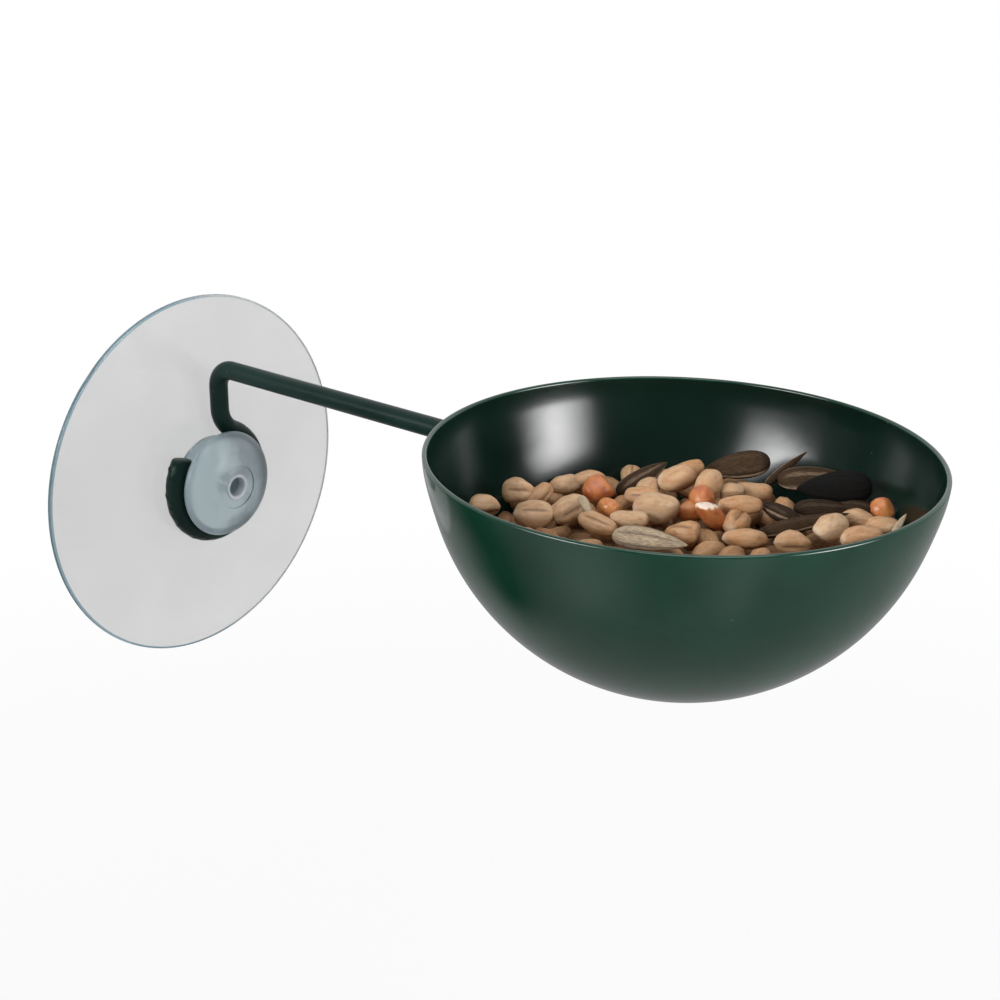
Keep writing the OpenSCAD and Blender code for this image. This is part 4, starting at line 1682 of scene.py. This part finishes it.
    def drawn_grain(self, half: Array) -> Settled:
        """A grain over a spot of the heap that is drawn by lot, with angles that are drawn too.

        The spot's distance from the axis goes with the root of a draw, which spreads the spots evenly.

        Args:
            half: half of the grain's three sizes.

        Returns:
            The grain at height 0.
        """
        out = (self.edge_r + self.past_edge) * math.sqrt(self.rng.uniform())
        spin = self.rng.uniform(0, 2 * math.pi)
        turn = self.rng.uniform(0, 360)
        tilt = self.rng.normal(0, self.wheat_tilt)
        roll = self.rng.uniform(0, 360)
        middle = np.array([out * math.cos(spin), out * math.sin(spin), 0.0])
        return Settled(seed_matrix(turn, tilt, roll), middle, half)

    def pour(self, limit: int, allowance: float, under_laid: bool) -> list[Settled]:
        """Lets grains down one by one, each at the lowest of several tried spots, until the heap is full.

        Args:
            limit: most grains to let down.
            allowance: height over the finished bed that a grain's top may reach.
            under_laid: whether the grains go under the listed seeds, or else round them, when these are
            in place.

        Returns:
            The grains.
        """
        heap = self.heap
        usual = np.array([self.wheat_l, self.wheat_d, self.wheat_d]) / 2
        poured = []
        for _ in range(limit):
            half = usual * self.rng.uniform(*self.wheat_size)
            best = None
            lowest = allowance
            for _ in range(self.tries):
                seed = self.drawn_grain(half)
                mark = heap.footprint(seed)
                z = seed.middle[2] = heap.rest_z(mark)
                if under_laid:
                    barred = heap.headroom(mark, z) < -self.give
                else:
                    barred = heap.taken_share(mark) > self.most_taken
                over = z + half[2] - float(heap.dome(*seed.middle[:2]))
                if not barred and over < lowest and self.in_bowl(seed):
                    best, lowest = (seed, mark), over
            if best is not None:
                seed, mark = best
                heap.add(mark, seed.middle[2])
                poured.append(seed)
        return poured

    def lay(self, groups: list[tuple[LaidSeed, ...]]) -> list[list[Settled]]:
        """Lets all the listed seeds down, the lowest first, from a little over their stated height.

        Args:
            groups: the seeds by kind.

        Returns:
            The seeds at rest, in the same groups and order.
        """
        seeds = [[seed.settled() for seed in group] for group in groups]
        for seed in sorted((seed for group in seeds for seed in group), key=lambda seed: seed.middle[2]):
            mark = self.heap.footprint(seed)
            stated = seed.middle[2]
            seed.middle[2] = min(max(self.heap.rest_z(mark), stated - 2 * self.give), stated + self.give)
            self.heap.add(mark, seed.middle[2])
        return seeds

    def add_seed(self, name: str, surface: Surface, finish: SeedFinish, node: str) -> None:
        """Moves seed from the origin to the bowl's axis and makes a piece of it.

        Args:
            name: the piece's name.
            surface: the seed, from the bowl's axis.
            finish: its finish.
            node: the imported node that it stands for.
        """
        surface.points += self.bowl.axis
        add_piece(name, surface, [finish.material()], Body.SEED_MIX, node)

    def build(self) -> None:
        """Pours the lower grains, lets the listed seeds down on them and pours the last grains."""
        by_hand = [SUNFLOWERS_BY_HAND, MAIZE_BY_HAND, WHEAT_BY_HAND]
        for seed in (seed.settled() for group in by_hand for seed in group):
            self.heap.hang(self.heap.footprint(seed), float(seed.middle[2]))
        under = self.pour(self.most_under, self.layer, True)
        flowers, kernels, chosen = self.lay(by_hand)
        top = self.pour(self.most_last, self.last_layer, False)
        bed = joined([self.bed(), self.grain.surface(under, self.rng, self.under_rows, self.under_columns)])
        wheat = self.grain.surface([*chosen, *top], self.rng, self.wheat_rows, self.wheat_columns)
        husks = joined([self.flower.surface(*pair) for pair in zip(SUNFLOWERS_BY_HAND, flowers)])
        maize = joined([self.kernel.surface(*pair, self.rng) for pair in zip(MAIZE_BY_HAND, kernels)])
        self.add_seed("packed_seed", bed, self.bed_finish, "seed_bed")
        self.add_seed("wheat_heap", wheat, self.wheat_finish, "wheat_grains")
        self.add_seed("sunflower_husks", husks, self.husk_finish, "sunflower_seeds")
        self.add_seed("broken_maize", maize, self.maize_finish, "maize_pieces")
        LOG.info("heap: %d lower grains, %d laid by hand, %d last grains", len(under), len(chosen), len(top))


# Studio


def placed_axes(x: Array, y: Array, z: Array, origin: Array) -> Matrix:
    """Matrix of an object with these axes and this place."""
    rows = np.column_stack([x, y, z, origin])
    return Matrix([*rows.tolist(), [0.0, 0.0, 0.0, 1.0]])


@dataclass(frozen=True)
class SoftLamp:
    """A soft rectangular lamp that looks at the bowl. Angles are in degrees and sizes in metres."""

    name: str
    azimuth: float
    elevation: float
    distance: float
    width: float
    height: float
    power: float
    spread: float = 180.0
    tip: float = 0.0

    def build(self, aim: Array) -> None:
        """Stands the lamp off from its aim in its own direction and turns it back, tipped up by its tip.

        Args:
            aim: the place that it stands off from, in metres.
        """
        back = heading(self.azimuth, self.elevation - self.tip)
        right = heading(self.azimuth + 90)
        data = bpy.data.lights.new(self.name, "AREA")
        data.shape = "RECTANGLE"
        data.size, data.size_y, data.energy = self.width, self.height, self.power
        data.spread = math.radians(self.spread)
        place = aim + self.distance * heading(self.azimuth, self.elevation)
        lamp = new_object(self.name, data)
        lamp.matrix_world = placed_axes(right, np.cross(back, right), back, place)


@dataclass(frozen=True)
class Card:
    """A pale or dark card on the floor round the bowl, seen in gloss only. Angles are in degrees."""

    azimuth: float
    half_width: float
    strength: float

    def glow(self, graph: Graph, azimuth: Socket) -> Socket:
        """The card's strength at an azimuth, falling smoothly to nothing at its edges.

        Args:
            graph: the floor's graph.
            azimuth: the azimuth, in radians.

        Returns:
            The strength.
        """
        off = graph.maths("SUBTRACT", azimuth, math.radians(self.azimuth))
        near = graph.maths("ABSOLUTE", graph.maths("WRAP", off, -math.pi, math.pi))
        return graph.ease(near, 0.0, math.radians(self.half_width), self.strength, 0.0)


@dataclass
class Studio:
    """Camera, lamps, white surround and pale floor. Camera places are in millimetres, the rest in metres."""

    bowl: BowlForm
    camera_place: tuple[float, float, float] = (-216.441, -255.471, 124.331)
    camera_azimuth: float = -51.796
    camera_elevation: float = 21.531
    camera_roll: float = 0.924
    focal_pixels: float = 1582.3
    frame_pixels: float = 1000.0
    sensor_mm: float = 36.0
    clip: Range = (0.01, 20.0)
    floor_z: float = -0.24
    floor_half: float = 40.0
    floor_tone: Colour = (0.86, 0.86, 0.86)
    floor_roughness: float = 0.9
    floor_gloss: float = 0.38
    cards: tuple[Card, ...] = (
        Card(-155, 34, -0.4),
        Card(-100, 30, 0.38),
        Card(-64, 20, -0.16),
        Card(-30, 20, 0.34),
    )
    cards_from: float = 0.15
    cards_full: float = 0.255
    shadow_core: float = 0.21
    shadow_reach: float = 0.7
    shadow_white: float = 0.8
    ambient: float = 0.32
    dark_side: float = 0.05
    sweep_facing: Range = (-0.35, 0.6)
    lamps: tuple[SoftLamp, ...] = (
        SoftLamp("front_softbox", 8, 9, 1.2, 1.0, 0.5, 1.9, spread=44, tip=1),
        SoftLamp("side_softbox", -109, 22, 1.2, 0.9, 0.44, 1.3, spread=46, tip=1),
        SoftLamp("top_softbox", -40, 72, 1.3, 1.0, 1.0, 9.0),
    )

    def camera(self) -> None:
        """Stands the camera at the photograph's place, with its axes turned about its view by the roll."""
        back = heading(self.camera_azimuth, self.camera_elevation)
        level = heading(self.camera_azimuth + 90)
        upright = np.cross(back, level)
        roll = math.radians(self.camera_roll)
        right = math.cos(roll) * level + math.sin(roll) * upright
        up = math.cos(roll) * upright - math.sin(roll) * level
        data = bpy.data.cameras.new("camera")
        data.sensor_width = self.sensor_mm
        data.lens = self.focal_pixels / self.frame_pixels * self.sensor_mm
        data.clip_start, data.clip_end = self.clip
        camera = new_object("camera", data)
        camera.matrix_world = placed_axes(right, up, back, np.array(self.camera_place) * MM)
        bpy.context.scene.camera = camera

    @staticmethod
    def rays(graph: Graph) -> tuple[Socket, Socket]:
        """Masks of what is seen straight on or through the vinyl, and of what is seen in gloss.

        Args:
            graph: the graph of the world or the floor.

        Returns:
            The two masks.
        """
        path = graph.add("ShaderNodeLightPath").outputs
        seen = graph.maths("MAXIMUM", path["Is Camera Ray"], path["Is Transmission Ray"])
        return seen, path["Is Glossy Ray"]

    def surround(self) -> None:
        """Lights the scene evenly, shows white straight on and through the vinyl, and gloss a sweep behind.

        In gloss the strength rises smoothly with the part of the direction that points away from the camera's
        side.
        """
        world = bpy.data.worlds.new("studio")
        world.use_nodes = True
        world.node_tree.nodes.clear()
        graph = Graph(world.node_tree)
        seen, gloss = self.rays(graph)
        direction = graph.add("ShaderNodeTexCoord").outputs["Generated"]
        facing = graph.vectors("DOT_PRODUCT", direction, -heading(self.camera_azimuth))["Value"]
        sweep = graph.product(gloss, graph.ease(facing, *self.sweep_facing, self.dark_side, 1.0))
        plain = graph.product(graph.maths("SUBTRACT", 1.0, gloss), self.ambient)
        strength = graph.carried("MAXIMUM", seen, sweep, plain)
        back = graph.add("ShaderNodeBackground", {"Color": WHITE, "Strength": strength})
        graph.add("ShaderNodeOutputWorld", {"Surface": back.outputs[0]})
        bpy.context.scene.world = world

    def floor_material(self) -> bpy.types.Material:
        """Pale floor that keeps the shadow near the feeder and runs out to white where the camera sees it.

        In gloss it has an even glow and, from a little way off the bowl, the glow of its cards.

        Returns:
            The material.
        """
        material, graph, shader = new_material("pale_floor")
        graph.fill(shader, {"Base Color": self.floor_tone, "Roughness": self.floor_roughness})
        bowl_y = -self.bowl.reach * MM
        place = graph.place()
        off = graph.vectors("DISTANCE", place, (0.0, bowl_y, self.floor_z))["Value"]
        far = graph.ease(off, self.shadow_core, self.shadow_reach, self.shadow_white, 1.0)
        seen, gloss = self.rays(graph)
        share = graph.maths("MAXIMUM", graph.product(seen, far), gloss)
        x, y, _ = graph.parts(place)
        azimuth = graph.maths("ARCTAN2", x, graph.maths("SUBTRACT", bowl_y, y))
        cards = graph.total(*(card.glow(graph, azimuth) for card in self.cards))
        begun = graph.ease(off, self.cards_from, self.cards_full)
        mirrored = graph.total(graph.product(cards, begun), self.floor_gloss)
        strength = graph.maths("MAXIMUM", seen, graph.product(gloss, mirrored))
        glow = graph.add("ShaderNodeEmission", {"Color": WHITE, "Strength": strength})
        mix = graph.add("ShaderNodeMixShader", {0: share, 1: shader.outputs[0], 2: glow.outputs[0]})
        output = next(node for node in material.node_tree.nodes if node.type == "OUTPUT_MATERIAL")
        graph.fill(output, {"Surface": mix.outputs[0]})
        return material

    def floor(self) -> None:
        """Lays the floor, as one wide square."""
        half = self.floor_half
        mesh = bpy.data.meshes.new("floor")
        corners = [(x * half, y * half, self.floor_z) for x, y in ((-1, -1), (1, -1), (1, 1), (-1, 1))]
        mesh.from_pydata(corners, [], [(0, 1, 2, 3)])
        mesh.materials.append(self.floor_material())
        new_object("floor", mesh)

    def build(self) -> None:
        """Sets up the camera, the surround, the floor and the lamps."""
        bpy.context.scene.view_settings.view_transform = "Standard"
        self.camera()
        self.surround()
        self.floor()
        aim = (self.bowl.axis + self.bowl.rim_z * UP) * MM
        for lamp in self.lamps:
            lamp.build(aim)


def main() -> None:
    """Builds the studio and the feeder's pieces, in order."""
    logging.basicConfig(level=logging.INFO, format="%(name)s: %(message)s")
    form = BowlForm()
    Studio(form).build()
    SuctionCup().build()
    WireArm(form).build()
    Bowl(form).build()
    SeedMix(form).build()
    bpy.context.view_layer.update()


if __name__ == "__main__":
    main()
